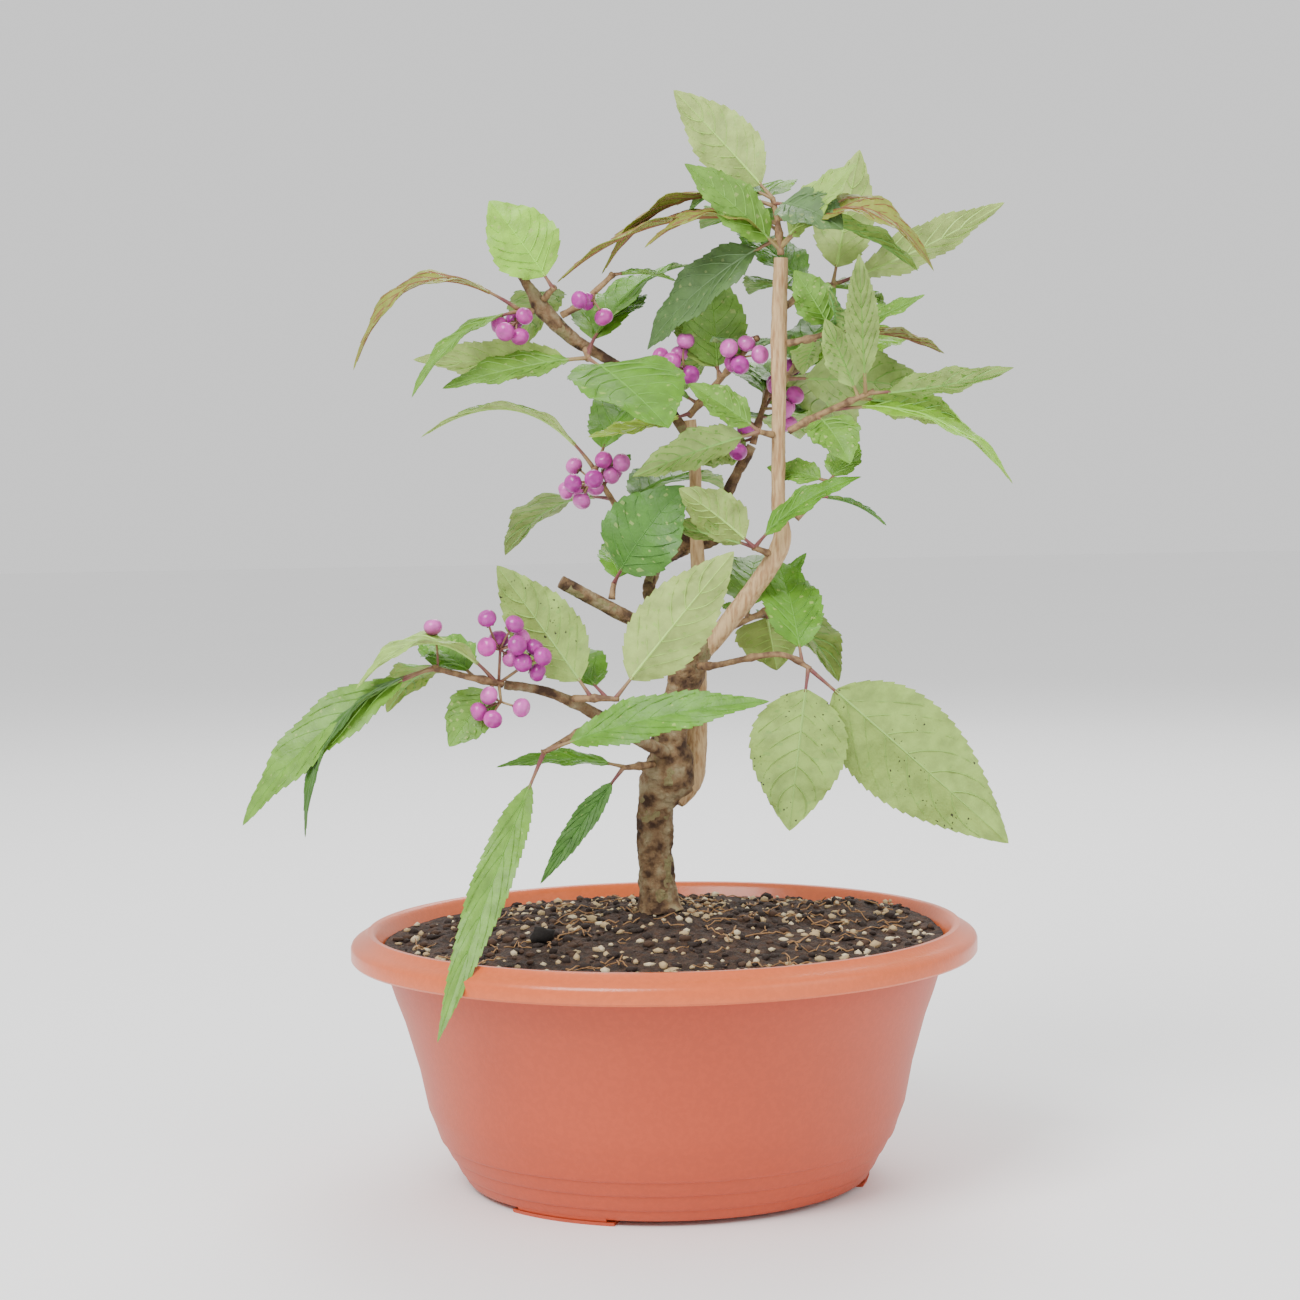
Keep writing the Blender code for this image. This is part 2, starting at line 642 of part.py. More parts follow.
def grow_behind(plant, name, pieces, run, rng, count):
    """Adds the leaves that the photo's side doesn't show, pointing back from the stem by the seeded rule."""
    grown = 0
    for _ in range(BEHIND_TRIES):
        if grown == count:
            break
        bearing = radians(rng.uniform(*BEHIND_BEARING))
        rise = radians(rng.uniform(*BEHIND_RISE))
        length = rng.uniform(*BEHIND_LENGTH)
        reach = Vector((cos(bearing) * cos(rise), sin(bearing) * cos(rise), sin(rise))) * length
        base = on_run(run, rng.uniform(*BEHIND_PLACES))[0]
        arch = rng.uniform(*BEHIND_ARCH)
        turn = rng.uniform(-BEHIND_TURN, BEHIND_TURN)
        tip = base + reach
        if abs(tip.x) < CROWN_REACH.x and abs(tip.y) < CROWN_REACH.y:
            grown += add_leaf(plant, name, pieces, base, reach, length * BEHIND_WIDTH_SHARE, arch, turn)


def largest_island(bm):
    """Keeps the largest connected body, so that a sealed hollow is filled and a loose scrap is dropped."""
    left = set(bm.verts)
    islands = []
    while left:
        queue = [left.pop()]
        island = set(queue)
        while queue:
            for edge in queue.pop().link_edges:
                for vert in edge.verts:
                    if vert in left:
                        left.remove(vert)
                        island.add(vert)
                        queue.append(vert)
        islands.append(island)
    islands.sort(key=len, reverse=True)
    for island in islands[1:]:
        bmesh.ops.delete(bm, geom=list(island), context="VERTS")


def join(pieces, name, look):
    """One Boolean union of all the pieces, applied."""
    body = as_object(pieces[0], name, look)
    others = bpy.data.collections.new(name + "_pieces")
    bpy.context.scene.collection.children.link(others)
    for i, bm in enumerate(pieces[1:]):
        piece = as_object(bm, f"{name}_piece_{i}", look)
        bpy.context.scene.collection.objects.unlink(piece)
        others.objects.link(piece)
    union = body.modifiers.new("union", "BOOLEAN")
    union.operation = "UNION"
    union.operand_type = "COLLECTION"
    union.collection = others
    union.solver = "MANIFOLD"
    graph = bpy.context.evaluated_depsgraph_get()
    joined = bmesh.new()
    joined.from_mesh(body.evaluated_get(graph).to_mesh())
    body.modifiers.remove(union)
    for piece in list(others.objects):
        bpy.data.objects.remove(piece)
    bpy.data.collections.remove(others)
    largest_island(joined)
    bmesh.ops.triangulate(joined, faces=joined.faces)
    joined.to_mesh(body.data)
    joined.free()
    return body


def cut_by(thing, cutter_bm):
    """Cuts a limb by the swollen shape of the limb it grows from, which leaves the gap between them."""
    cutter = as_object(cutter_bm, thing.name + "_cutter", "bark")
    cut = thing.modifiers.new("cut", "BOOLEAN")
    cut.operation = "DIFFERENCE"
    cut.object = cutter
    graph = bpy.context.evaluated_depsgraph_get()
    result = bmesh.new()
    result.from_mesh(thing.evaluated_get(graph).to_mesh())
    thing.modifiers.remove(cut)
    bpy.data.objects.remove(cutter)
    largest_island(result)
    bmesh.ops.triangulate(result, faces=result.faces)
    result.to_mesh(thing.data)
    result.free()


def turn_profile(name, profile, look):
    """A closed solid turned from a profile that starts and ends on the axis."""
    mesh = bpy.data.meshes.new(name)
    mesh.from_pydata([(r * MM, 0, z * MM) for r, z in profile], [(i, i + 1) for i in range(len(profile) - 1)], [])
    thing = bpy.data.objects.new(name, mesh)
    mesh.materials.append(finish(look))
    bpy.context.scene.collection.objects.link(thing)
    turn = thing.modifiers.new("turn", "SCREW")
    turn.steps = POT_SIDES
    turn.render_steps = POT_SIDES
    turn.use_merge_vertices = True
    turn.merge_threshold = 0.00001
    turn.use_smooth_shade = True
    return thing


def inner_wall():
    """The inside of the pot from its floor up to the rim, as (radius, height)."""
    wall = [(FOOT_RADIUS - POT_WALL, FLOOR_TOP)]
    wall += [(radius - POT_WALL, height + WALL_RISE) for radius, height in BAND_TOPS + WALL_RADII]
    return wall + [RIM_INNER_EDGE]


def pot_profile():
    """From the inside middle out over the rim and down the outside to the middle of the base, as (radius, height)."""
    outer = list(reversed(WALL_RADII))
    for radius, height in reversed(BAND_TOPS):
        outer.append((radius, height))
        outer.append((radius - BAND_STEP[0], height - BAND_STEP[1]))
    foot = [(FOOT_RADIUS, FLOOR_UNDER), (0, FLOOR_UNDER)]
    return list(reversed([(0, FLOOR_TOP)] + inner_wall() + list(RIM_LINE) + outer + foot))


def foot_block(middle):
    """One foot: an arc of the foot ring from the ground up into the base."""
    rings = []
    for k in range(FOOT_FACETS + 1):
        angle = radians(middle - FOOT_SPAN / 2 + FOOT_SPAN * k / FOOT_FACETS)
        way = Vector((cos(angle), sin(angle), 0))
        top = FLOOR_UNDER + FOOT_SUNK
        rings.append([way * FOOT_INNER, way * FOOT_OUTER[0], way * FOOT_OUTER[1] + UP * top,
                      way * FOOT_INNER + UP * top])
    return skin(rings)


def make_pot():
    bowl = turn_profile("pot", pot_profile(), "terracotta")
    graph = bpy.context.evaluated_depsgraph_get()
    turned_bowl = bmesh.new()
    turned_bowl.from_mesh(bowl.evaluated_get(graph).to_mesh())
    bmesh.ops.recalc_face_normals(turned_bowl, faces=turned_bowl.faces)
    bpy.data.objects.remove(bowl)
    pot = join([turned_bowl] + [foot_block(middle) for middle in FOOT_MIDDLES], "pot", "terracotta")
    pot.data.shade_smooth()
    pot.data.set_sharp_from_angle(angle=radians(35))
    return pot


def soil_height(x, y):
    """Height of the soil: level under the trunk, falling to the wall, with a low heap at the right."""
    away = (Vector((x, y, 0)) - TRUNK_FOOT.xy.to_3d()).length
    fall = min(1.0, max(0.0, (away - TRUNK_PAD) / SOIL_FALL_WIDTH))
    heap = (Vector((x, y, 0)) - SOIL_HEAP).length / SOIL_HEAP_WIDTH
    return TRUNK_FOOT.z - GAP - SOIL_FALL * fall + (SOIL_HEAP_HEIGHT * exp(-heap * heap) if fall else 0)


def pot_inner_radius(height):
    """Inside radius of the pot's wall at this height."""
    line = inner_wall()
    for (ra, za), (rb, zb) in zip(line, line[1:]):
        if za <= height <= zb:
            return ra + (rb - ra) * (height - za) / (zb - za)
    return RIM_INNER_EDGE[0]


def make_soil():
    rings = []
    for height in SOIL_LEVELS:
        radius = (pot_inner_radius(height) - 2 * GAP) * cos(pi / POT_SIDES)
        rings.append([(radius * cos(2 * pi * k / SOIL_SIDES), radius * sin(2 * pi * k / SOIL_SIDES), height)
                      for k in range(SOIL_SIDES)])
    for i in range(SOIL_RINGS):
        share = 1 - i / SOIL_RINGS
        middle = TRUNK_FOOT.xy.to_3d() * (1 - share)
        ring = []
        for k in range(SOIL_SIDES):
            angle = 2 * pi * k / SOIL_SIDES
            place = middle + Vector((cos(angle), sin(angle), 0)) * ((pot_inner_radius(SOIL_TOP_LEVEL) - SOIL_TOP_CLEAR) * share)
            ring.append((place.x, place.y, soil_height(place.x, place.y)))
        rings.append(ring)
    return as_object(skin(rings, TRUNK_FOOT - UP * GAP), "soil", "soil")


def keep_limb(plant, limb):
    bm = bmesh.new()
    bm.from_mesh(limb.data)
    plant.limbs[limb.name] = tree_of(bm)
    bm.free()


def make_trunk(plant):
    run = smooth(walk(TRUNK_FOOT, TRUNK_STEPS), TRUNK_RADII, LIMB_STEP)
    rings = tube_rings(run, TRUNK_SIDES)
    rings[0] = [Vector((p.x, p.y, TRUNK_FOOT.z)) for p in rings[0]]
    trunk = as_object(skin(rings), "trunk", "bark")
    plant.runs["trunk"] = run
    keep_limb(plant, trunk)


def make_boughs(plant):
    for name, bough in BOUGHS.items():
        run = smooth(walk(bough["start"], bough["steps"]), bough["radii"], LIMB_STEP)
        limb = as_object(skin(tube_rings(run, LIMB_SIDES)), name, "tan_wood" if name in TAN_BOUGHS else "bark")
        plant.runs[name] = run
        for other in plant.limbs:
            swollen = skin(tube_rings(plant.runs[other], TRUNK_SIDES if other == "trunk" else LIMB_SIDES, grow=CUT_CLEAR))
            cut_by(limb, swollen)
        keep_limb(plant, limb)


def main():
    clear_scene()
    plant = Plant()
    for base in (make_pot(), make_soil()):
        keep_limb(plant, base)
    plant_base = dict(plant.limbs)
    plant.limbs.clear()
    make_trunk(plant)
    make_boughs(plant)
    plant.limbs.update(plant_base)
    grown = {name: grow_shown(plant, name, **mass) for name, mass in MASSES.items()}
    for name, mass in MASSES.items():
        pieces, run, rng = grown[name]
        grow_behind(plant, name, pieces, run, rng, mass["behind"])
    for name, (pieces, _, _) in grown.items():
        join(pieces, name, "foliage")


main()
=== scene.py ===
# Potted beautyberry shrub: the finished leaves, berries, bark, soil and pot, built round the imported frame.
# Lengths are in millimetres until a mesh is made; the scene itself is in metres, +Z up, front towards -Y.
from math import cos, exp, pi, radians, sin, sqrt, tan
from random import Random

import bmesh
import bpy
from mathutils import Matrix, Vector, noise
from mathutils.bvhtree import BVHTree


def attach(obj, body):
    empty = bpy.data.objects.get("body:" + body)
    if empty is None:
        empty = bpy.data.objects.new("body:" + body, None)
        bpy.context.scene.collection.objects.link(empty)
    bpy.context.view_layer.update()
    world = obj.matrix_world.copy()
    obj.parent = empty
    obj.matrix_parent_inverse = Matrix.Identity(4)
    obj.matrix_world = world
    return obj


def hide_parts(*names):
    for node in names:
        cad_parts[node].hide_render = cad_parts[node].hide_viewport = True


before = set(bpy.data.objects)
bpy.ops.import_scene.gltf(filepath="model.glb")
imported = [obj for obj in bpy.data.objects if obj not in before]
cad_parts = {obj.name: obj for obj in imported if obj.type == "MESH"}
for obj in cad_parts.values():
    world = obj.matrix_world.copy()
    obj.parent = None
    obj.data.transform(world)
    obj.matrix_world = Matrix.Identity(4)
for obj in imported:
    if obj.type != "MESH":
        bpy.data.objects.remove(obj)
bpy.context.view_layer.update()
mm = 0.001
up = Vector((0, 0, 1))
print("frame loaded:", len(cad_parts), "nodes")


def rgb(red, green, blue):  # 0 to 255 as seen on a screen, to linear light
    return tuple((v / 255) ** 2.2 for v in (red, green, blue))


def scaled(colour, share):
    return tuple(v * share for v in colour)


class Shade:  # wraps one socket of a node tree, so that shader maths reads as plain expressions
    def __init__(self, tree, socket=None):
        self.tree = tree
        self.socket = socket

    def node(self, kind, settings, inputs, out=0):
        made = self.tree.nodes.new(kind)
        for key, value in settings.items():
            if key == "stops":
                ramp = made.color_ramp
                while len(ramp.elements) < len(value):
                    ramp.elements.new(0.5)
                for element, (place, colour) in zip(ramp.elements, value):
                    element.position = place
                    element.color = (*colour, 1)
            else:
                setattr(made, key, value)
        for key, value in inputs.items():
            if isinstance(value, Shade):
                self.tree.links.new(value.socket, made.inputs[key])
            elif isinstance(value, tuple) and made.inputs[key].type == "RGBA":
                made.inputs[key].default_value = (*value[:3], 1)
            else:
                made.inputs[key].default_value = value
        return Shade(self.tree, made.outputs[out])

    def maths(self, operation, first, second):
        return self.node("ShaderNodeMath", {"operation": operation}, {0: first, 1: second})

    def __sub__(self, other):
        return self.maths("SUBTRACT", self, other)

    def __rsub__(self, other):
        return self.maths("SUBTRACT", other, self)

    def __mul__(self, other):
        return self.maths("MULTIPLY", self, other)

    def __rmul__(self, other):
        return self.maths("MULTIPLY", other, self)

    def above(self, level):
        return self.maths("GREATER_THAN", self, level)

    def blend(self, first, second):  # first where this is 0, second where it is 1
        return self.node("ShaderNodeMix", {"data_type": "RGBA"}, {0: self, 6: first, 7: second}, out=2)

    def noise(self, scale, detail=3.0):
        place = self.node("ShaderNodeTexCoord", {}, {}, out="Object")
        return self.node("ShaderNodeTexNoise", {}, {"Vector": place, "Scale": scale, "Detail": detail})

    def height(self):
        place = self.node("ShaderNodeTexCoord", {}, {}, out="Object")
        return self.node("ShaderNodeSeparateXYZ", {}, {0: place}, out="Z")

    def ramp(self, *stops):
        return self.node("ShaderNodeValToRGB", {"stops": stops}, {0: self})


def newLook(name, roughness):  # a Principled material, its start for shader maths, and a way to feed it
    look = bpy.data.materials.new(name)
    look.use_nodes = True
    shader = look.node_tree.nodes["Principled BSDF"]
    shader.inputs["Roughness"].default_value = roughness

    def feed(key, value):
        if isinstance(value, Shade):
            look.node_tree.links.new(value.socket, shader.inputs[key])
        else:
            shader.inputs[key].default_value = (*value, 1)

    return look, Shade(look.node_tree), feed


def bumped(start, feed, height, strength, distance):
    bump = start.node("ShaderNodeBump", {}, {"Strength": strength, "Distance": distance, "Height": height})
    feed("Normal", bump)


# two colours blended by a noise, or more at stops along it; bump is its own noise's scale, then the bump's
# strength and depth in metres
def mottledLook(name, roughness, grain, colours, detail=3.0, stops=None, bump=None, bumpDetail=3.0):
    look, start, feed = newLook(name, roughness)
    mottle = start.noise(grain, detail)
    feed("Base Color", mottle.ramp(*zip(stops, colours)) if stops else mottle.blend(*colours))
    if bump:
        scale, strength, depth = bump
        bumped(start, feed, start.noise(scale, bumpDetail), strength, depth)
    return look


# camera: the photo's own place in metres and its angles in radians
cameraView = dict(place=(-0.0022, -0.700, 0.1727), tip=0.057, roll=-0.018, lens=77.82, sensor=36.0)


def makeCamera():
    data = bpy.data.cameras.new("photoCamera")
    data.lens = cameraView["lens"]
    data.sensor_width = cameraView["sensor"]
    camera = bpy.data.objects.new("photoCamera", data)
    turn = Matrix.Rotation(pi / 2 - cameraView["tip"], 4, "X") @ Matrix.Rotation(cameraView["roll"], 4, "Z")
    camera.matrix_world = Matrix.Translation(cameraView["place"]) @ turn
    bpy.context.scene.collection.objects.link(camera)
    bpy.context.scene.camera = camera
    print("camera placed")


# studio: a pale floor, an even sky and three soft lights as (name, place, size, power), in metres and watts
studio = dict(
    floor=rgb(250, 250, 250), floorShade=rgb(246, 246, 246), floorSize=6.0, floorCells=8, sky=1.0,
    aim=(0, 0, 0.14),
    lights=(
        ("keyLight", (-0.55, -0.85, 1.1), 0.7, 24.0),
        ("fillLight", (0.9, -0.7, 0.6), 0.9, 4.0),
        ("backLight", (0.2, 0.9, 1.0), 0.8, 10.0),
    ),
)


def makeStudio():
    bm = bmesh.new()
    cells = studio["floorCells"]
    bmesh.ops.create_grid(bm, x_segments=cells, y_segments=cells, size=studio["floorSize"])
    mesh = bpy.data.meshes.new("paleFloor")
    bm.to_mesh(mesh)
    bm.free()
    ground = bpy.data.objects.new("paleFloor", mesh)
    look, start, feed = newLook("paleFloor", 0.6)
    feed("Base Color", start.noise(3.0).blend(studio["floor"], studio["floorShade"]))
    mesh.materials.append(look)
    bpy.context.scene.collection.objects.link(ground)
    world = bpy.data.worlds.new("softWorld")
    world.use_nodes = True
    sky = world.node_tree.nodes["Background"]
    sky.inputs["Color"].default_value = (1, 1, 1, 1)
    sky.inputs["Strength"].default_value = studio["sky"]
    bpy.context.scene.world = world
    for name, place, size, power in studio["lights"]:
        data = bpy.data.lights.new(name, "AREA")
        data.size = size
        data.energy = power
        light = bpy.data.objects.new(name, data)
        light.location = place
        towards = Vector(studio["aim"]) - Vector(place)
        light.rotation_euler = towards.to_track_quat("-Z", "Y").to_euler()
        bpy.context.scene.collection.objects.link(light)
    print("studio lit by", len(studio["lights"]), "lights")


def addPiece(bm, name, looks, node, slot, sharp=None):  # a finished piece, riding with the plant
    mesh = bpy.data.meshes.new(name)
    bm.to_mesh(mesh)
    bm.free()
    for look in looks:
        mesh.materials.append(look)
    mesh.shade_smooth()
    if sharp:
        mesh.set_sharp_from_angle(angle=radians(sharp))
    piece = bpy.data.objects.new(name, mesh)
    bpy.context.scene.collection.objects.link(piece)
    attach(piece, "root")
    if node:
        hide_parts(node)
    return piece


def skin(rings, tip=None, bm=None, closed=True, look=0):  # faces through rings of points, in millimetres
    bm = bm or bmesh.new()
    rows = [[bm.verts.new(Vector(p) * mm) for p in ring] for ring in rings]
    made = []
    for low, high in zip(rows, rows[1:]):
        for i in range(len(low) if closed else len(low) - 1):
            j = (i + 1) % len(low)
            made.append(bm.faces.new((low[i], low[j], high[j], high[i])))
    if closed:
        made.append(bm.faces.new(list(reversed(rows[0]))))
        if tip is None:
            made.append(bm.faces.new(rows[-1]))
        else:
            end = bm.verts.new(Vector(tip) * mm)
            for i in range(len(rows[-1])):
                made.append(bm.faces.new((rows[-1][i], rows[-1][(i + 1) % len(rows[-1])], end)))
    for face in made:
        face.material_index = look
    return bm


def walk(start, steps):
    points = [Vector(start)]
    for step in steps:
        points.append(points[-1] + Vector(step))
    return points


def smoothRun(points, radii, spacing):  # a smooth run of (point, radius) through the points
    run = []
    last = len(points) - 1
    for i in range(last):
        before = points[max(i - 1, 0)]
        a, b = points[i], points[i + 1]
        after = points[min(i + 2, last)]
        count = max(1, round((b - a).length / spacing))
        for k in range(count):
            t = k / count
            middle = (
                a * 2 + (b - before) * t + (before * 2 - a * 5 + b * 4 - after) * t**2
                + (a * 3 - before - b * 3 + after) * t**3
            ) / 2
            run.append((middle, radii[i] + (radii[i + 1] - radii[i]) * t))
    run.append((points[-1], radii[-1]))
    return run


def tubeRings(run, sides, relief=None):  # rings square to the run, each keeping the last one's heading
    rings = []
    side = None
    for i, (point, radius) in enumerate(run):
        ahead = run[min(i + 1, len(run) - 1)][0] - run[max(i - 1, 0)][0]
        ahead.normalize()
        if side is None:
            side = ahead.cross(Vector((0.2, -1.0, 0.1)))
        side = (side - ahead * side.dot(ahead)).normalized()
        other = ahead.cross(side)
        ring = []
        for k in range(sides):
            way = side * cos(2 * pi * k / sides) + other * sin(2 * pi * k / sides)
            grow = relief(point + way * radius, way, i / (len(run) - 1)) if relief else 0.0
            ring.append(point + way * (radius + grow))
        rings.append(ring)
    return rings


def onRun(run, share):
    lengths = [0.0]
    for (a, _), (b, _) in zip(run, run[1:]):
        lengths.append(lengths[-1] + (b - a).length)
    want = share * lengths[-1]
    for i in range(len(run) - 1):
        if lengths[i + 1] >= want - 1e-9:
            break
    t = (want - lengths[i]) / (lengths[i + 1] - lengths[i])
    (a, ra), (b, rb) = run[i], run[i + 1]
    return a.lerp(b, t), ra + (rb - ra) * t, (b - a).normalized()


# limbs: where each starts, its steps (right, away, up) and its radii, as in the frame
trunkFoot = Vector((-0.8, 8.0, 66.0))
limbs = {
    "trunk": dict(
        start=trunkFoot,
        steps=((-0.4, 0, 4.5), (-0.6, 0, 10.5), (0.4, -1, 12), (3, -1, 7.6), (0.8, -1, 5),
               (-0.2, -1, 5), (3.4, -1, 12.4), (2.6, -1, 10), (0.9, 0.2, 4.6)),
        radii=(6, 4.9, 4.4, 4.7, 7.2, 5.6, 4.4, 4.1, 5.4, 3.6), rough=0.55, tan=0,
    ),
    "back_stem": dict(
        start=(7.4, 8.5, 100),
        steps=((1.4, 2.6, 11), (0.8, 2.9, 22), (0.9, 0.5, 12), (-0.3, 1.5, 16), (-0.2, 1, 19),
               (-1.1, 0, 10.2)),
        radii=(3.6, 3.2, 2.7, 2.1, 1.65, 1.55, 1.7), rough=0.12, tan=1, root=(3.4, 6.6, 94),
    ),
    "leader": dict(
        start=(8.6, 2.2, 130),
        steps=((8.8, -1.2, 9.2), (12.9, -2, 18.2), (0, 0, 12), (0.5, -1, 24.7), (0.2, 0, 13.5),
               (0.8, -1, 21.6)),
        radii=(2.7, 2.35, 2.45, 1.75, 1.75, 2.1, 1.75), rough=0.12, tan=1,
    ),
    "stub_bough": dict(
        start=(6, 1, 132.6),
        steps=((-7, -2, 4.8), (-13.6, -3, 7.6), (-9.4, -2, 5.4)),
        radii=(1.9, 1.6, 1.75, 1.6), rough=0.2, tan=0,
    ),
    "rear_bough": dict(
        start=(7, 3.5, 134),
        steps=((-8.6, 6.6, 9), (1, 7.4, 9.4), (6.8, 6, 6), (9.6, 1.8, 3.4), (2.6, 0.6, 9.6),
               (6.6, 1, 12)),
        radii=(1.7, 1.5, 1.6, 3.3, 2.9, 1.55, 1.25), rough=0.35, tan=0,
    ),
    "upper_left_bough": dict(
        start=(9.2, 16.6, 185),
        steps=((-9.4, -1.3, 12.6), (-13.3, -3.2, 9.2), (-6.2, -2, 3.8), (-7.3, -2, 7), (-3.4, 0, 5.6),
               (-4.6, 0, 7.6)),
        radii=(1.4, 1.3, 1.35, 1.7, 2.2, 1.45, 1.05), rough=0.2, tan=0,
    ),
    "lower_left_bough": dict(
        start=(2.4, 3, 106),
        steps=((-7.5, -11, 5), (-11.2, -10, 7.7), (-10.2, -6, 5.5), (-10.5, -4, 2.5)),
        radii=(1.9, 1.55, 1.5, 1.25, 1.15), rough=0.2, tan=0,
    ),
}
limbStep = 6.5

# growth: the rule's sizes, shared with the frame's masses
growth = dict(
    twigSides=3, twigStep=8.0, twigRadii=(0.95, 0.6), leastSlant=0.35, petioleRadius=0.55, petioleShare=0.13,
    leafThick=1.1, leafFold=14.0, stations=(0.2, 0.45, 0.74), skew=0.8, fullness=0.85, taper=0.25, peak=0.885,
    berryRadius=2.45, stalkRadius=0.5, hubShare=0.75, berryApart=1.85, berrySpread=(0.7, 1.25),
    berryLoosen=1.01,
    seed=20, gap=0.3, pushes=(0, 4, -4, 8, -8, 13, -13), turns=(7, -7, 14, -14, 21, -21, 30, -30),
    pitches=(0, 8, -8), bearing=(45.0, 135.0), rise=(-25.0, 35.0), length=(34.0, 50.0), widthShare=0.38,
    arch=(20.0, 60.0), turn=20.0, places=(0.3, 1.0), tries=30, reach=(98.0, 76.0),
)

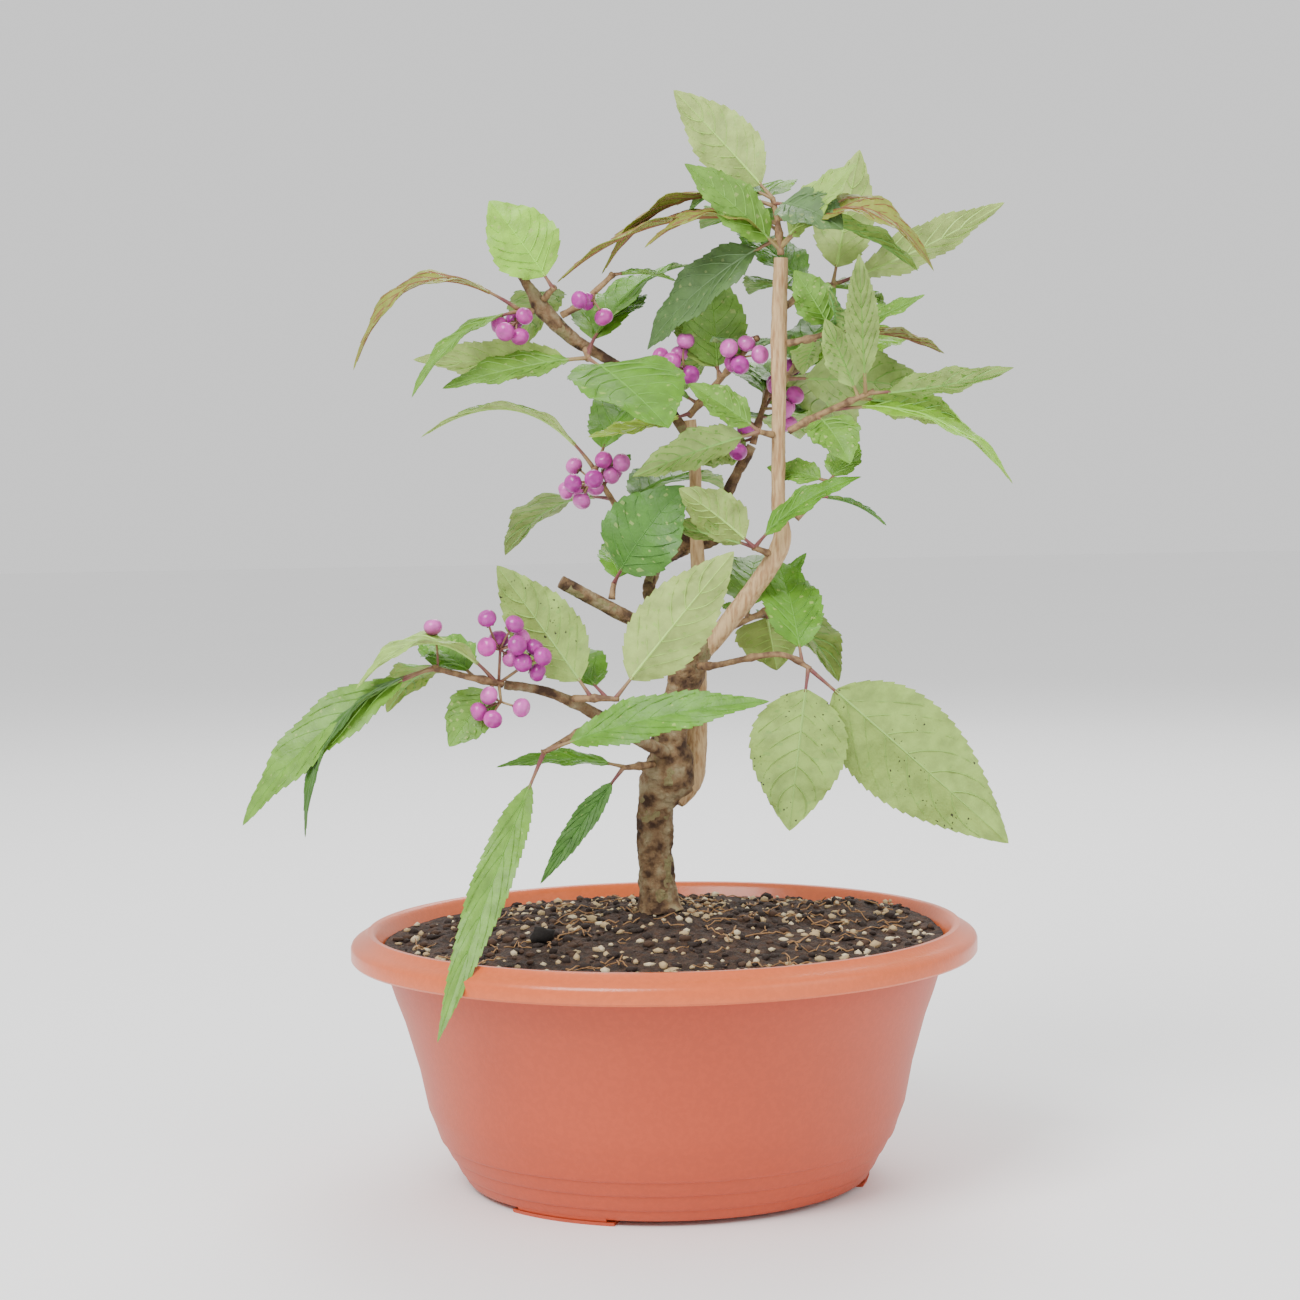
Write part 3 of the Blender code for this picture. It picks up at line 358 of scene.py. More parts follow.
# masses: the limb, the place on it, the stem's steps, then leaves as (place, reach, width, arch, turn, tint)
# and berry clusters as (place, reach, count, spread); behind is how many more leaves the rule adds
masses = {
    "top_foliage": dict(
        on="leader", at=1, stem=((-0.6, -0.4, 7), (-1.2, -0.3, 7)), behind=3,
        leaves=(
            (0.98, (-24, 4, 27.5), 15.5, 15, -65, "pale"), (0.98, (-21, 15, -2), 12, 70, 20, "deep"),
            (0.08, (-23.5, -10, 20.5), 12.5, 12, 60, "fresh"), (0.85, (-43, 12, -15), 11, 80, 0, "olive"),
            (0.10, (-33.5, -5, 0.5), 11, 88, 15, "olive"), (0.55, (-55, 9, -13), 12, 55, 10, "olive"),
            # the grey leaves on this line and the next are painted shade
            (0.90, (16, -13, -8), 16, 40, 45, "grey"), (0.12, (37, -8, -7), 12, 110, 30, "olive"),
            (0.14, (18.5, -10, 19), 13, 10, 40, "pale"), (0.30, (-33, 18, -26), 15, 40, 50, "grey"),
        ),
    ),
    "right_fork_foliage": dict(
        on="leader", at=0.88, stem=((6, 8, 4), (8, 6, 2.5)), behind=2,
        leaves=(
            (0.92, (7.5, 3, 34), 15, 12, -80, "pale"), (0.98, (43.5, 6.4, 20.2), 12, -18, -50, "pale"),
            (0.80, (16, 12, -5), 13, 40, 20, "fresh"),
        ),
    ),
    "right_upper_foliage": dict(
        on="leader", at=0.80, stem=((5, -3, 0.8), (6.5, -4, 1.8)), behind=0,
        leaves=(
            (0.90, (-9, -1, 15), 11, 20, 60, "fresh"), (0.98, (-2, -12, 9), 11, 20, 50, "deep"),
            (0.98, (21.5, -5, 8), 9, -20, 30, "fresh"), (0.60, (33, 17, -4), 12, 35, 5, "olive"),
            (0.60, (-3, 10, -9), 9, 20, 20, "fresh"),
        ),
    ),
    "right_middle_foliage": dict(
        on="leader", at=0.59, stem=((8, -2, 4), (8, -2, 3.4), (5, -1, 2)), behind=0,
        leaves=(
            (0.82, (-8.5, -4, 19), 9, 12, -45, "fresh"), (0.90, (-3.5, -18, 32), 8, 12, -40, "fresh"),
            (0.94, (35, -5.4, 5.4), 10, -18, -35, "fresh"), (0.80, (27, 8, -7), 12, 30, -40, "bright"),
            (0.50, (46, 10, -19), 14, 65, 25, "lit"), (0.34, (7, -14, -12), 13, 40, 40, "fresh"),
        ),
    ),
    "right_rear_foliage": dict(
        on="leader", at=0.70, stem=((2.5, 6.5, 3), (4, 7, 2)), behind=3,
        leaves=(
            (0.25, (37, 7, -3), 18, 15, -50, "fresh"), (0.90, (29, 13, 8), 14, 35, 40, "lit"),
        ),
    ),
    "right_lower_foliage": dict(
        on="leader", at=0.36, stem=((4, -0.5, 4.2), (4.5, -0.5, 5)), behind=0,
        leaves=(
            (0.60, (17, -3, -7.5), 5, 45, 0, "deep"), (0.98, (-15, 7, 4), 8, 15, 50, "fresh"),
            (0.98, (8, 7, 9.5), 9, 10, 30, "fresh"),
        ),
    ),
    "leader_front_foliage": dict(
        on="leader", at=0.31, stem=((-3.5, -3.5, 1.5),), behind=0,
        leaves=(
            (0.95, (-18.5, -6, 15), 12.5, 25, -60, "pale"), (0.95, (26, -8, 17), 9, 42, 35, "bright"),
            (0.80, (-28, 2, 7), 7.5, 20, -40, "fresh"),
        ),
    ),
    "leader_left_foliage": dict(
        on="leader", at=0.59, stem=((-3.5, -3.5, 0.8),), behind=0,
        leaves=(
            (0.95, (-31.5, -8, -10.5), 12, 15, -50, "fresh"), (0.95, (-17.5, -2, 12), 10, 15, 50, "fresh"),
        ),
    ),
    "centre_foliage": dict(
        on="back_stem", at=1, stem=((9, -7, 10), (8.5, -5, 9)), behind=2,
        leaves=(
            (0.45, (-2, -4, 29), 16, 10, 80, "fresh"), (0.50, (-12, 6, 20), 11, 10, 60, "pale"),
            # the grey leaf here is painted shade
            (0.90, (0, -17, -1), 20, 15, 5, "grey"), (0.04, (-26, -14, -6), 9, -10, 20, "yellow"),
            (0.15, (-19, 3, 10), 9, 15, 10, "fresh"),
        ),
        berries=((0.25, (-7, -6, 9), 7, 5), (0.70, (2, -5, 1), 5, 4)),
    ),
    "rear_foliage": dict(
        on="rear_bough", at=1, stem=((2, 0.5, 7), (2.5, 1.5, 8)), behind=5,
        leaves=(
            (0.10, (-17, 3, -6), 13, 15, -50, "fresh"), (0.30, (-14, 8, 6), 12, 15, -30, "pale"),
        ),
        berries=((0.20, (-5, -4, -1), 4, 4.5), (0.60, (7, -5, 0), 4, 4),
                 (0.95, (4, -4, 3), 3, 3.5)),
    ),
    "middle_left_foliage": dict(
        on="rear_bough", at=0.52, stem=((-7, -4, 2.6), (-7.5, -6, 11), (-2.5, -2, 5)), behind=3,
        leaves=(
            (0.98, (-43, -6, 8.5), 11, 90, 0, "pale"), (0.80, (7, 6, 8), 7, 20, 20, "deep"),
        ),
        berries=((0.76, (-4.5, -3, 3), 8, 5), (0.90, (3, -1, 3), 3, 3.4)),
    ),
    "stub_foliage": dict(
        on="stub_bough", at=0.60, stem=((0.6, 1, 4),), behind=1,
        leaves=((0.95, (18, 1, 24), 21, 45, 60, "deep"),),
    ),
    "upper_left_foliage": dict(
        on="upper_left_bough", at=0.76, stem=((-3, -2.4, 0.2),), behind=0,
        leaves=(
            (0.98, (-41, -8, -14.5), 11, 107, 15, "olive"), (0.80, (-27, -12, -21.5), 8, 55, 10, "fresh"),
        ),
        berries=((0.60, (-2.5, -3, -4), 5, 3.8),),
    ),
    "upper_left_top_foliage": dict(
        on="upper_left_bough", at=0.80, stem=((2.6, -4, 2.6),), behind=1,
        leaves=((0.90, (-15.5, 1, 22), 18, 28, 65, "lit"),),
    ),
    "upper_left_inner_foliage": dict(
        on="upper_left_bough", at=0.72, stem=((4.5, -1.5, 2.4), (6, -1, 5), (2.5, 1, 2.5)), behind=0,
        leaves=(
            (0.98, (-16.5, -8, 5.5), 6, 60, 10, "fresh"), (0.98, (16, 3, -1.5), 6, 35, 10, "fresh"),
        ),
        berries=((0.60, (0, -3.5, -3), 3, 3.6),),
    ),
    "upper_left_low_foliage": dict(
        on="upper_left_bough", at=0.56, stem=((0.6, -4.5, -2.5),), behind=2,
        leaves=(
            (0.90, (-36, -8, -7.3), 12, 15, 35, "fresh"), (0.90, (-44, 4, 0.5), 12, -10, -50, "pale"),
            (0.95, (19.5, -31, -18.5), 29, 15, 20, "bright"),
        ),
    ),
    "far_left_foliage": dict(
        on="lower_left_bough", at=1, stem=((-8.5, -3, 2.2), (-8, -2, 2.4)), behind=1,
        leaves=(
            (0.99, (-45, -8, -36), 13, 60, 45, "fresh"), (0.95, (-30, -16, -38), 8, 80, 0, "dark"),
            (0.10, (-32, -14, 0), 13, 100, 5, "pale"), (0.40, (-14, 13, 9), 13, 30, 30, "bright"),
            (0.12, (-11, -3, -15), 12, 10, 65, "fresh"),
        ),
        berries=((0.06, (1, -6, 11), 7, 4.2), (0.06, (8, -4, 5.5), 4, 3.8),
                 (0.06, (1, -6.5, -5.5), 4, 4.2), (0.92, (-1, 1, 10), 1, 1)),
    ),
    "lower_left_foliage": dict(
        on="lower_left_bough", at=0.72, stem=((6, -3, 0.2), (5, -2, -0.2)), behind=1,
        leaves=(
            (0.42, (-22, -4, 32.5), 17, 10, -80, "specked"), (0.92, (29, -4, 35), 18, 12, -80, "pale"),
        ),
    ),
    "drooping_foliage": dict(
        on="lower_left_bough", at=0.50, stem=((-6, -5, -3), (-6, -4, -3)), behind=0,
        leaves=(
            (0.98, (54, -10, 12), 11.5, 35, 55, "bright"), (0.98, (-24, -41, -62), 9, 25, 60, "fresh"),
        ),
    ),
    "burl_foliage": dict(
        on="trunk", at=0.53, stem=((-5, -6, 0), (-2.5, -2, 0)), behind=0,
        leaves=(
            (0.90, (-32, -4, 1), 7, 32, 25, "bright"), (0.98, (-21, -4, -28), 6, 18, 60, "deep"),
        ),
    ),
    "lower_right_foliage": dict(
        on="trunk", at=0.87, stem=((4, -6, 0.5), (15, -3, 2.6), (8, -2, -3.6)), behind=1,
        leaves=(
            (0.98, (-5.5, -5, -39.5), 24, 8, -85, "specked"), (0.98, (48.5, -1, -44), 27, 14, -85, "specked"),
        ),
    ),
    "right_twig_foliage": dict(
        on="trunk", at=0.95, stem=((8, 5, 3), (9, 7, 4)), behind=2,
        leaves=(
            (0.85, (10, 3, 14), 6, 10, 30, "bright"), (0.98, (6, -5, -6.5), 6, 10, 30, "bright"),
            (0.60, (-8, 5, 3), 6, 10, 30, "fresh"), (0.80, (3, 9, -16), 18, 15, -70, "pale"),
        ),
        berries=((0.90, (1, 0, 5), 1, 1),),
    ),
}


def bladeHalf(s):  # half the blade's width at this share of its length
    g = growth
    return sin(pi * s ** g["skew"]) ** g["fullness"] * (1 - g["taper"] * s) / g["peak"]


def leafSpace(base, reach, arch, turn):  # midrib and upper way by share, then across, along and length
    reach = Vector(reach)
    length = reach.length
    along = reach / length
    facing = Vector((0, -sin(radians(turn)), cos(radians(turn))))
    above = (facing - along * facing.dot(along)).normalized()
    across = along.cross(above)
    rise = length * tan(radians(arch) / 2) / 4

    def midrib(t):
        return base + reach * t + above * (rise * 4 * t * (1 - t))

    def topAt(t):
        return across.cross((midrib(t + 0.01) - midrib(t - 0.01)).normalized())

    return midrib, topAt, across, along, length


def coarseLeaf(base, reach, width, arch, turn, grow=0.0):  # the frame's own plain leaf, for the touch tests
    g = growth
    midrib, topAt, across, along, _ = leafSpace(base, reach, arch, turn)

    def ring(t, half, thick):
        centre = midrib(t)
        top = topAt(t)
        lift = top * (half * sin(radians(g["leafFold"])))
        out = across * (half * cos(radians(g["leafFold"])) + grow)
        return [centre - out + lift, centre + top * (thick / 2 + grow), centre + out + lift,
                centre - top * (thick / 2 + grow)]

    stalk = g["petioleRadius"]
    rings = [ring(0.0, stalk, 2 * stalk), ring(g["petioleShare"], stalk, 2 * stalk)]
    for s in g["stations"]:
        t = g["petioleShare"] + (1 - g["petioleShare"]) * s
        rings.append(ring(t, width / 2 * bladeHalf(s), g["leafThick"]))
    return skin(rings, base + Vector(reach) + along * grow)


class Growing:  # what has grown so far, so that each new piece stays clear of it
    def __init__(self):
        self.limbs = {}
        self.masses = {}

    def touches(self, bm, own):
        tree = BVHTree.FromBMesh(bm)
        if any(tree.overlap(limb) for limb in self.limbs.values()):
            return True
        others = (piece for name, kept in self.masses.items() if name != own for piece in kept)
        return any(tree.overlap(piece) for piece in others)

    def keep(self, bm, own):
        self.masses.setdefault(own, []).append(BVHTree.FromBMesh(bm))


def turned(reach, yaw, pitch):
    reach = Matrix.Rotation(radians(yaw), 3, "Z") @ reach
    level = Vector((reach.y, -reach.x, 0))
    return Matrix.Rotation(radians(pitch), 3, level) @ reach if pitch else reach


def ways(reach):
    reach = Vector(reach)
    for push in growth["pushes"]:
        yield reach + Vector((0, push, 0))
    for yaw in growth["turns"]:
        for pitch in growth["pitches"]:
            yield turned(reach, yaw, pitch)


def placeLeaf(growing, mass, base, reach, width, arch, turn):  # the way the leaf takes, or None
    for way in ways(reach):
        if not growing.touches(coarseLeaf(base, way, width, arch, turn, growth["gap"]), mass):
            growing.keep(coarseLeaf(base, way, width, arch, turn), mass)
            return way
    return None


def berryPlaces(rng, middle, count, spread):
    places = []
    apart = growth["berryApart"] * growth["berryRadius"]
    while len(places) < count:
        way = Vector((rng.gauss(0, 1), rng.gauss(0, 1), rng.gauss(0, 1))).normalized()
        place = middle + way * (spread * rng.uniform(*growth["berrySpread"]))
        if all((place - other).length > apart for other in places):
            places.append(place)
        else:
            spread *= growth["berryLoosen"]
    return places


def ball(place, radius):
    bm = bmesh.new()
    lie = Matrix.Translation(place * mm)
    bmesh.ops.create_icosphere(bm, subdivisions=1, radius=radius * mm, matrix=lie)
    return bm


def stick(a, b):
    r = growth["stalkRadius"]
    return skin(tubeRings([(a, r), (b, r)], growth["twigSides"]))


def placeBerry(growing, mass, hub, place):
    g = growth
    stalk = stick(hub, place)
    if growing.touches(ball(place, g["berryRadius"] + g["gap"]), mass) or growing.touches(stalk, mass):
        return False
    growing.keep(stalk, mass)
    growing.keep(ball(place, g["berryRadius"]), mass)
    return True


def placeCluster(growing, mass, rng, root, reach, count, spread):  # (hub, berry places)
    if count == 1:
        place = root + Vector(reach)
        return root, [place] if placeBerry(growing, mass, root, place) else []
    for push in growth["pushes"]:
        way = Vector(reach) + Vector((0, push, 0))
        hub = root + way * growth["hubShare"]
        shared = stick(root, hub + way.normalized() * growth["stalkRadius"])
        if not growing.touches(shared, mass):
            growing.keep(shared, mass)
            places = berryPlaces(rng, root + way, count, spread)
            return hub, [place for place in places if placeBerry(growing, mass, hub, place)]
    return root, []


def stemStart(runs, on, at, first):
    g = growth
    point, radius, ahead = onRun(runs[on], at)
    way = Vector(first).normalized()
    along = abs(way.dot(ahead))
    slant = max(g["leastSlant"], sqrt(max(0.0, 1 - along**2)))
    if at == 1.0:
        return point + ahead * (g["gap"] + g["twigRadii"][0] * slant)
    return point + way * ((radius + g["gap"] + g["twigRadii"][0] * along) / slant)


def growMasses():  # every mass's stem, leaves and berries, placed by the frame's own rule
    g = growth
    growing = Growing()
    for name in [*limbs, "pot", "soil"]:
        bm = bmesh.new()
        bm.from_mesh(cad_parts[name].data)
        growing.limbs[name] = BVHTree.FromBMesh(bm)
        bm.free()
    runs = {}
    for name, limb in limbs.items():
        runs[name] = smoothRun(walk(limb["start"], limb["steps"]), limb["radii"], limbStep)
    grown = {}
    for name, mass in masses.items():
        rng = Random(f"{g['seed']} {name}")
        points = walk(stemStart(runs, mass["on"], mass["at"], mass["stem"][0]), mass["stem"])
        thick, thin = g["twigRadii"]
        radii = [thick + (thin - thick) * i / (len(points) - 1) for i in range(len(points))]
        run = smoothRun(points, radii, g["twigStep"])
        growing.keep(skin(tubeRings(run, g["twigSides"] + 1)), name)
        leaves = []
        for place, reach, width, arch, turn, tint in mass["leaves"]:
            base = onRun(run, place)[0]
            way = placeLeaf(growing, name, base, reach, width, arch, turn)
            if way:
                leaves.append((base, way, width, arch, turn, tint))
        clusters = []
        for place, reach, count, spread in mass.get("berries", ()):
            root = onRun(run, place)[0]
            clusters.append((root, *placeCluster(growing, name, rng, root, reach, count, spread)))
        grown[name] = dict(points=points, radii=radii, run=run, leaves=leaves, clusters=clusters, rng=rng)
    for name, mass in masses.items():
        made = grown[name]
        rng = made["rng"]
        count = 0
        for _ in range(g["tries"]):
            if count == mass["behind"]:
                break
            bearing = radians(rng.uniform(*g["bearing"]))
            rise = radians(rng.uniform(*g["rise"]))
            length = rng.uniform(*g["length"])
            reach = Vector((cos(bearing) * cos(rise), sin(bearing) * cos(rise), sin(rise))) * length
            base = onRun(made["run"], rng.uniform(*g["places"]))[0]
            arch = rng.uniform(*g["arch"])
            turn = rng.uniform(-g["turn"], g["turn"])
            tip = base + reach
            if abs(tip.x) < g["reach"][0] and abs(tip.y) < g["reach"][1]:
                width = length * g["widthShare"]
                way = placeLeaf(growing, name, base, reach, width, arch, turn)
                if way:
                    made["leaves"].append((base, way, width, arch, turn, "fresh" if count % 2 else "bright"))
                    count += 1
    print("masses of foliage placed:", len(grown))
    return grown


# leaves: upper and lower colours of each tint; grey is painted shade, a darker grey-green for leaves whose
# upper side lies in shade
leafTints = {
    "pale": (rgb(150, 185, 84), rgb(160, 184, 96)),
    "fresh": (rgb(108, 154, 52), rgb(148, 176, 90)),
    "bright": (rgb(94, 146, 38), rgb(142, 174, 78)),
    "lit": (rgb(142, 196, 58), rgb(156, 192, 84)),
    "yellow": (rgb(172, 204, 70), rgb(178, 202, 92)),
    "olive": (rgb(136, 144, 54), rgb(150, 152, 72)),
    "deep": (rgb(76, 126, 42), rgb(130, 160, 80)),
    "dark": (rgb(66, 106, 38), rgb(118, 144, 70)),
    # painted shade: grey darkens the green of leaves whose upper side faces away from the light
    "grey": (rgb(88, 120, 68), rgb(130, 152, 92)),
    "specked": (rgb(132, 168, 76), rgb(144, 174, 82)),
}


# blade: lengths and heights in millimetres, places along the blade and across it as shares
blade = dict(
    teeth=15, teethLength=45, fewestTeeth=7, toothDepth=0.55, steps=(0.0, 0.6, 0.92),  # each tooth's rows
    columns=(1.0, 0.78, 0.52, 0.26, 0.06), start=0.004, reach=0.985, thick=0.34, edgeThin=0.6,
    pairs=6, veinSlope=0.34, veinWide=0.34, veinHigh=0.16, veinTaper=0.75, veinPoints=7,
    veinSpan=(0.03, 0.85), firstVein=0.06, veinRun=0.74, veinCrowd=1.05,
    ribStart=0.002, ribReach=0.96, ribWide=0.8, ribHigh=1.7, ribPoints=17,
    quilt=0.35, quiltHalf=4, quiltSlope=0.6, foldGain=1.25, foldEase=0.45, wave=0.7, waveHalf=5, waves=3,
    fullWidth=12, fullVein=11, merge=0.002, sharp=50,
)


leafFinish = dict(
    upperRough=0.5, underRough=0.62, darker=0.72, mottle=260.0, network=1500.0, networkStrength=0.35,
    networkHeight=0.0004, speck=1100.0, speckPatch=90.0, speckColour=rgb(40, 36, 26),
    veinRough=0.55, veinMottle=400.0, veinDarker=0.85, redVein=rgb(140, 92, 60),
)


def makeLeafLooks():  # for each tint an upper, a lower and a vein material
    looks = []
    f = leafFinish
    for tint, (upper, lower) in leafTints.items():
        for part, colour, roughness in (("Upper", upper, f["upperRough"]), ("Under", lower, f["underRough"])):
            look, start, feed = newLook(tint + part + "Leaf", roughness)
            tone = start.noise(f["mottle"], 4.0).ramp((0.35, scaled(colour, f["darker"])), (0.62, colour))
            if tint == "specked":
                patches = start.noise(f["speckPatch"], 1.0).above(0.52)
                tone = (start.noise(f["speck"], 1.0).above(0.70) * patches).blend(tone, f["speckColour"])
            feed("Base Color", tone)
            bumped(start, feed, start.noise(f["network"]), f["networkStrength"], f["networkHeight"])
            looks.append(look)
        pale = f["redVein"] if tint == "olive" else tuple(min(1.0, v * 1.25 + 0.04) for v in upper)
        veinTones = (pale, scaled(pale, f["veinDarker"]))
        looks.append(mottledLook(tint + "Vein", f["veinRough"], f["veinMottle"], veinTones))
    return looks


def fineLeaf(bm, base, reach, width, arch, turn, tint, rng):  # toothed and quilted, with veins on both sides
    b = blade
    g = growth
    first = list(leafTints).index(tint) * 3
    midrib, topAt, across, _, length = leafSpace(base, reach, arch, turn)
    bladeShare = 1 - g["petioleShare"]
    wavePhase = rng.uniform(0, 2 * pi)
    teeth = max(b["fewestTeeth"], round(b["teeth"] * length / b["teethLength"]))

    def surface(s, u, lift=0.0, tooth=0.0):
        t = g["petioleShare"] + bladeShare * s
        half = width / 2 * bladeHalf(s)
        top = topAt(t)
        side = abs(u)
        rise = half * side * sin(radians(g["leafFold"])) * (b["foldGain"] - b["foldEase"] * side)
        along = (s - side * b["veinSlope"] * b["quiltSlope"]) * (b["pairs"] + 1.5)
        rise -= b["quilt"] * min(1.0, half / b["quiltHalf"]) * cos(2 * pi * along) * (4 * side * (1 - side))
        swing = sin(2 * pi * b["waves"] * s + wavePhase + (pi if u < 0 else 0))
        rise += b["wave"] * side**2 * min(1.0, half / b["waveHalf"]) * swing
        out = (half * cos(radians(g["leafFold"])) + tooth * side) * u
        return midrib(t) + across * out + top * (rise + lift)

    us = [-v for v in b["columns"]] + [0.0] + list(reversed(b["columns"]))
    rows = []
    for k in range(teeth):
        for step in b["steps"]:
            s = b["start"] + b["reach"] * (k + step) / teeth
            depth = b["toothDepth"] * min(1.0, width / b["fullWidth"]) * min(1.0, bladeHalf(s) * 1.6)
            rows.append((s, depth * step / b["steps"][-1]))
    thick = b["thick"] / 2
    sheets = []
    for side in (1, -1):
        sheet = []
        for s, tooth in rows:
            lifts = [side * thick * (1 - b["edgeThin"] * abs(u)) for u in us]
            sheet.append([bm.verts.new(surface(s, u, lift, tooth) * mm) for u, lift in zip(us, lifts)])
        sheets.append(sheet)
    tip = bm.verts.new(midrib(1.0) * mm)

    def addFace(corners, flipped, look):
        bm.faces.new(corners[::-1] if flipped else corners).material_index = look

    for side, sheet in enumerate(sheets):
        for low, high in zip(sheet, sheet[1:]):
            for i in range(len(us) - 1):
                addFace((low[i], low[i + 1], high[i + 1], high[i]), side, first + side)
        for i in range(len(us) - 1):
            addFace((sheet[-1][i], sheet[-1][i + 1], tip), side, first + side)
    upper, lower = sheets
    for i in (0, -1):
        for k in range(len(rows) - 1):
            addFace((upper[k][i], upper[k + 1][i], lower[k + 1][i], lower[k][i]), i, first)
        addFace((upper[-1][i], tip, lower[-1][i]), i, first)
    for i in range(len(us) - 1):
        addFace((upper[0][i + 1], upper[0][i], lower[0][i], lower[0][i + 1]), False, first)

    def vein(points, wide, high, side):  # a low ridge of three edges along the points (s, u)
        last = len(points) - 1
        strips = []
        for i, (s, u) in enumerate(points):
            taper = 1 - b["veinTaper"] * i / last
            near = surface(s, u, side * (thick * 0.5))
            ahead = (surface(*points[min(i + 1, last)]) - surface(*points[max(i - 1, 0)])).normalized()
            top = topAt(g["petioleShare"] + bladeShare * s) * side
            way = ahead.cross(top).normalized() * (wide * taper / 2)
            strips.append([near - way, near + top * (thick + high * taper), near + way])
        skin(strips, bm=bm, closed=False, look=first + 2)

    for side in (1, -1):
        slim = min(1.0, width / b["fullVein"])
        count = b["ribPoints"]
        rib = [(b["ribStart"] + b["ribReach"] * i / (count - 1), 0.0) for i in range(count)]
        vein(rib, b["ribWide"] * slim, b["veinHigh"] * b["ribHigh"], side)
        for k in range(b["pairs"]):
            s = b["firstVein"] + b["veinRun"] * (k / b["pairs"]) ** b["veinCrowd"]
            for hand in (1, -1):
                points = []
                for i in range(b["veinPoints"]):
                    v = b["veinSpan"][0] + b["veinSpan"][1] * i / (b["veinPoints"] - 1)
                    bow = b["veinSlope"] * v * (0.55 + 0.45 * v) * (1 - s * 0.35)  # bends towards the tip
                    points.append((min(0.97, s + bow), hand * v))
                vein(points, b["veinWide"] * slim, b["veinHigh"], side)


def makeLeaves(grown):
    looks = makeLeafLooks()
    for name, made in grown.items():
        rng = Random(name + " fine leaves")
        bm = bmesh.new()
        for leaf in made["leaves"]:
            fineLeaf(bm, *leaf, rng)
        bmesh.ops.remove_doubles(bm, verts=bm.verts, dist=blade["merge"] * mm)
        addPiece(bm, name.replace("_foliage", "_leaves"), looks, name, "foliage", sharp=blade["sharp"])
    print("leaves grown:", sum(len(made["leaves"]) for made in grown.values()))


twigs = dict(
    stem=dict(roughness=0.75, grain=500.0, colours=(rgb(96, 70, 50), rgb(150, 120, 84)), stops=(0.35, 0.6),
              bump=(1400.0, 0.5, 0.0003)),
    stalk=dict(roughness=0.55, grain=150.0, colours=(rgb(116, 66, 66), rgb(150, 130, 84)), stops=(0.4, 0.65)),
    spacing=0.8, sides=10, knuckle=0.35, knuckleEvery=11.0, knuckleWide=1.0, lump=0.1, lumpScale=1.4,
    stalkRadii=(0.62, 0.40), stalkSides=8, stalkOverlap=0.02, sharedRadius=0.42, sharedSides=7,
    berryStalk=0.28, berryStalkBow=0.5, berryStalkSides=6,
)


def makeTwigs(grown):
    t = twigs
    looks = [mottledLook("twigBark", **t["stem"]), mottledLook("leafStalk", **t["stalk"])]
    for name, made in grown.items():
        bm = bmesh.new()
        run = smoothRun(made["points"], made["radii"], t["spacing"])
        length = sum((b[0] - a[0]).length for a, b in zip(run, run[1:]))

        def knuckle(point, way, share):  # small swellings where leaf pairs sit
            offset = (share * length) % t["knuckleEvery"] - t["knuckleEvery"] / 2
            swelling = t["knuckle"] * exp(-(offset / t["knuckleWide"]) ** 2)
            return swelling + t["lump"] * noise.noise(point * t["lumpScale"])

        skin(tubeRings(run, t["sides"], knuckle), bm=bm)
        for base, reach, _, arch, turn, _ in made["leaves"]:
            midrib = leafSpace(base, reach, arch, turn)[0]
            last = growth["petioleShare"] + t["stalkOverlap"]
            wide, slim = t["stalkRadii"]
            stalk = [(midrib(last * i / 6), wide - (wide - slim) * min(1, i / 4)) for i in range(7)]
            skin(tubeRings(stalk, t["stalkSides"]), bm=bm, look=1)
        for root, hub, places in made["clusters"]:
            if places and hub != root:
                shared = [(root.lerp(hub, i / 4), t["sharedRadius"] - 0.02 * i) for i in range(5)]
                skin(tubeRings(shared, t["sharedSides"]), bm=bm, look=1)
            for place in places:
                bow = (place - hub).cross(up).normalized() * t["berryStalkBow"]
                points = [(hub.lerp(place, i / 5) + bow * sin(pi * i / 5), t["berryStalk"]) for i in range(6)]
                skin(tubeRings(points, t["berryStalkSides"]), bm=bm, look=1)
        addPiece(bm, name.replace("_foliage", "_twigs"), looks, name, "bark")
    print("twigs and stalks grown on", len(grown), "masses")


berries = dict(
    tints=(rgb(186, 64, 156), rgb(168, 52, 146), rgb(204, 92, 176)), deep=0.7,
    skin=dict(roughness=0.28, grain=420.0, detail=2.0, stops=(0.35, 0.6), bump=(2200.0, 0.15, 0.0002)),
    calyx=dict(roughness=0.8, grain=700.0, colours=(rgb(120, 96, 60), rgb(84, 60, 40))),
    around=24, down=16, sizes=(0.92, 1.0), dimple=0.4, dimpleWide=0.35, flatten=0.12,
    sepals=4, sepalRoot=0.82, sepalLong=1.1, sepalWide=(0.6, 0.3), sepalThick=(0.25, 0.2),
)


def makeBerryLooks():
    b = berries
    looks = []
    for i, tint in enumerate(b["tints"]):
        looks.append(mottledLook(f"berrySkin{i}", colours=(scaled(tint, b["deep"]), tint), **b["skin"]))
    return [*looks, mottledLook("dryCalyx", **b["calyx"])]


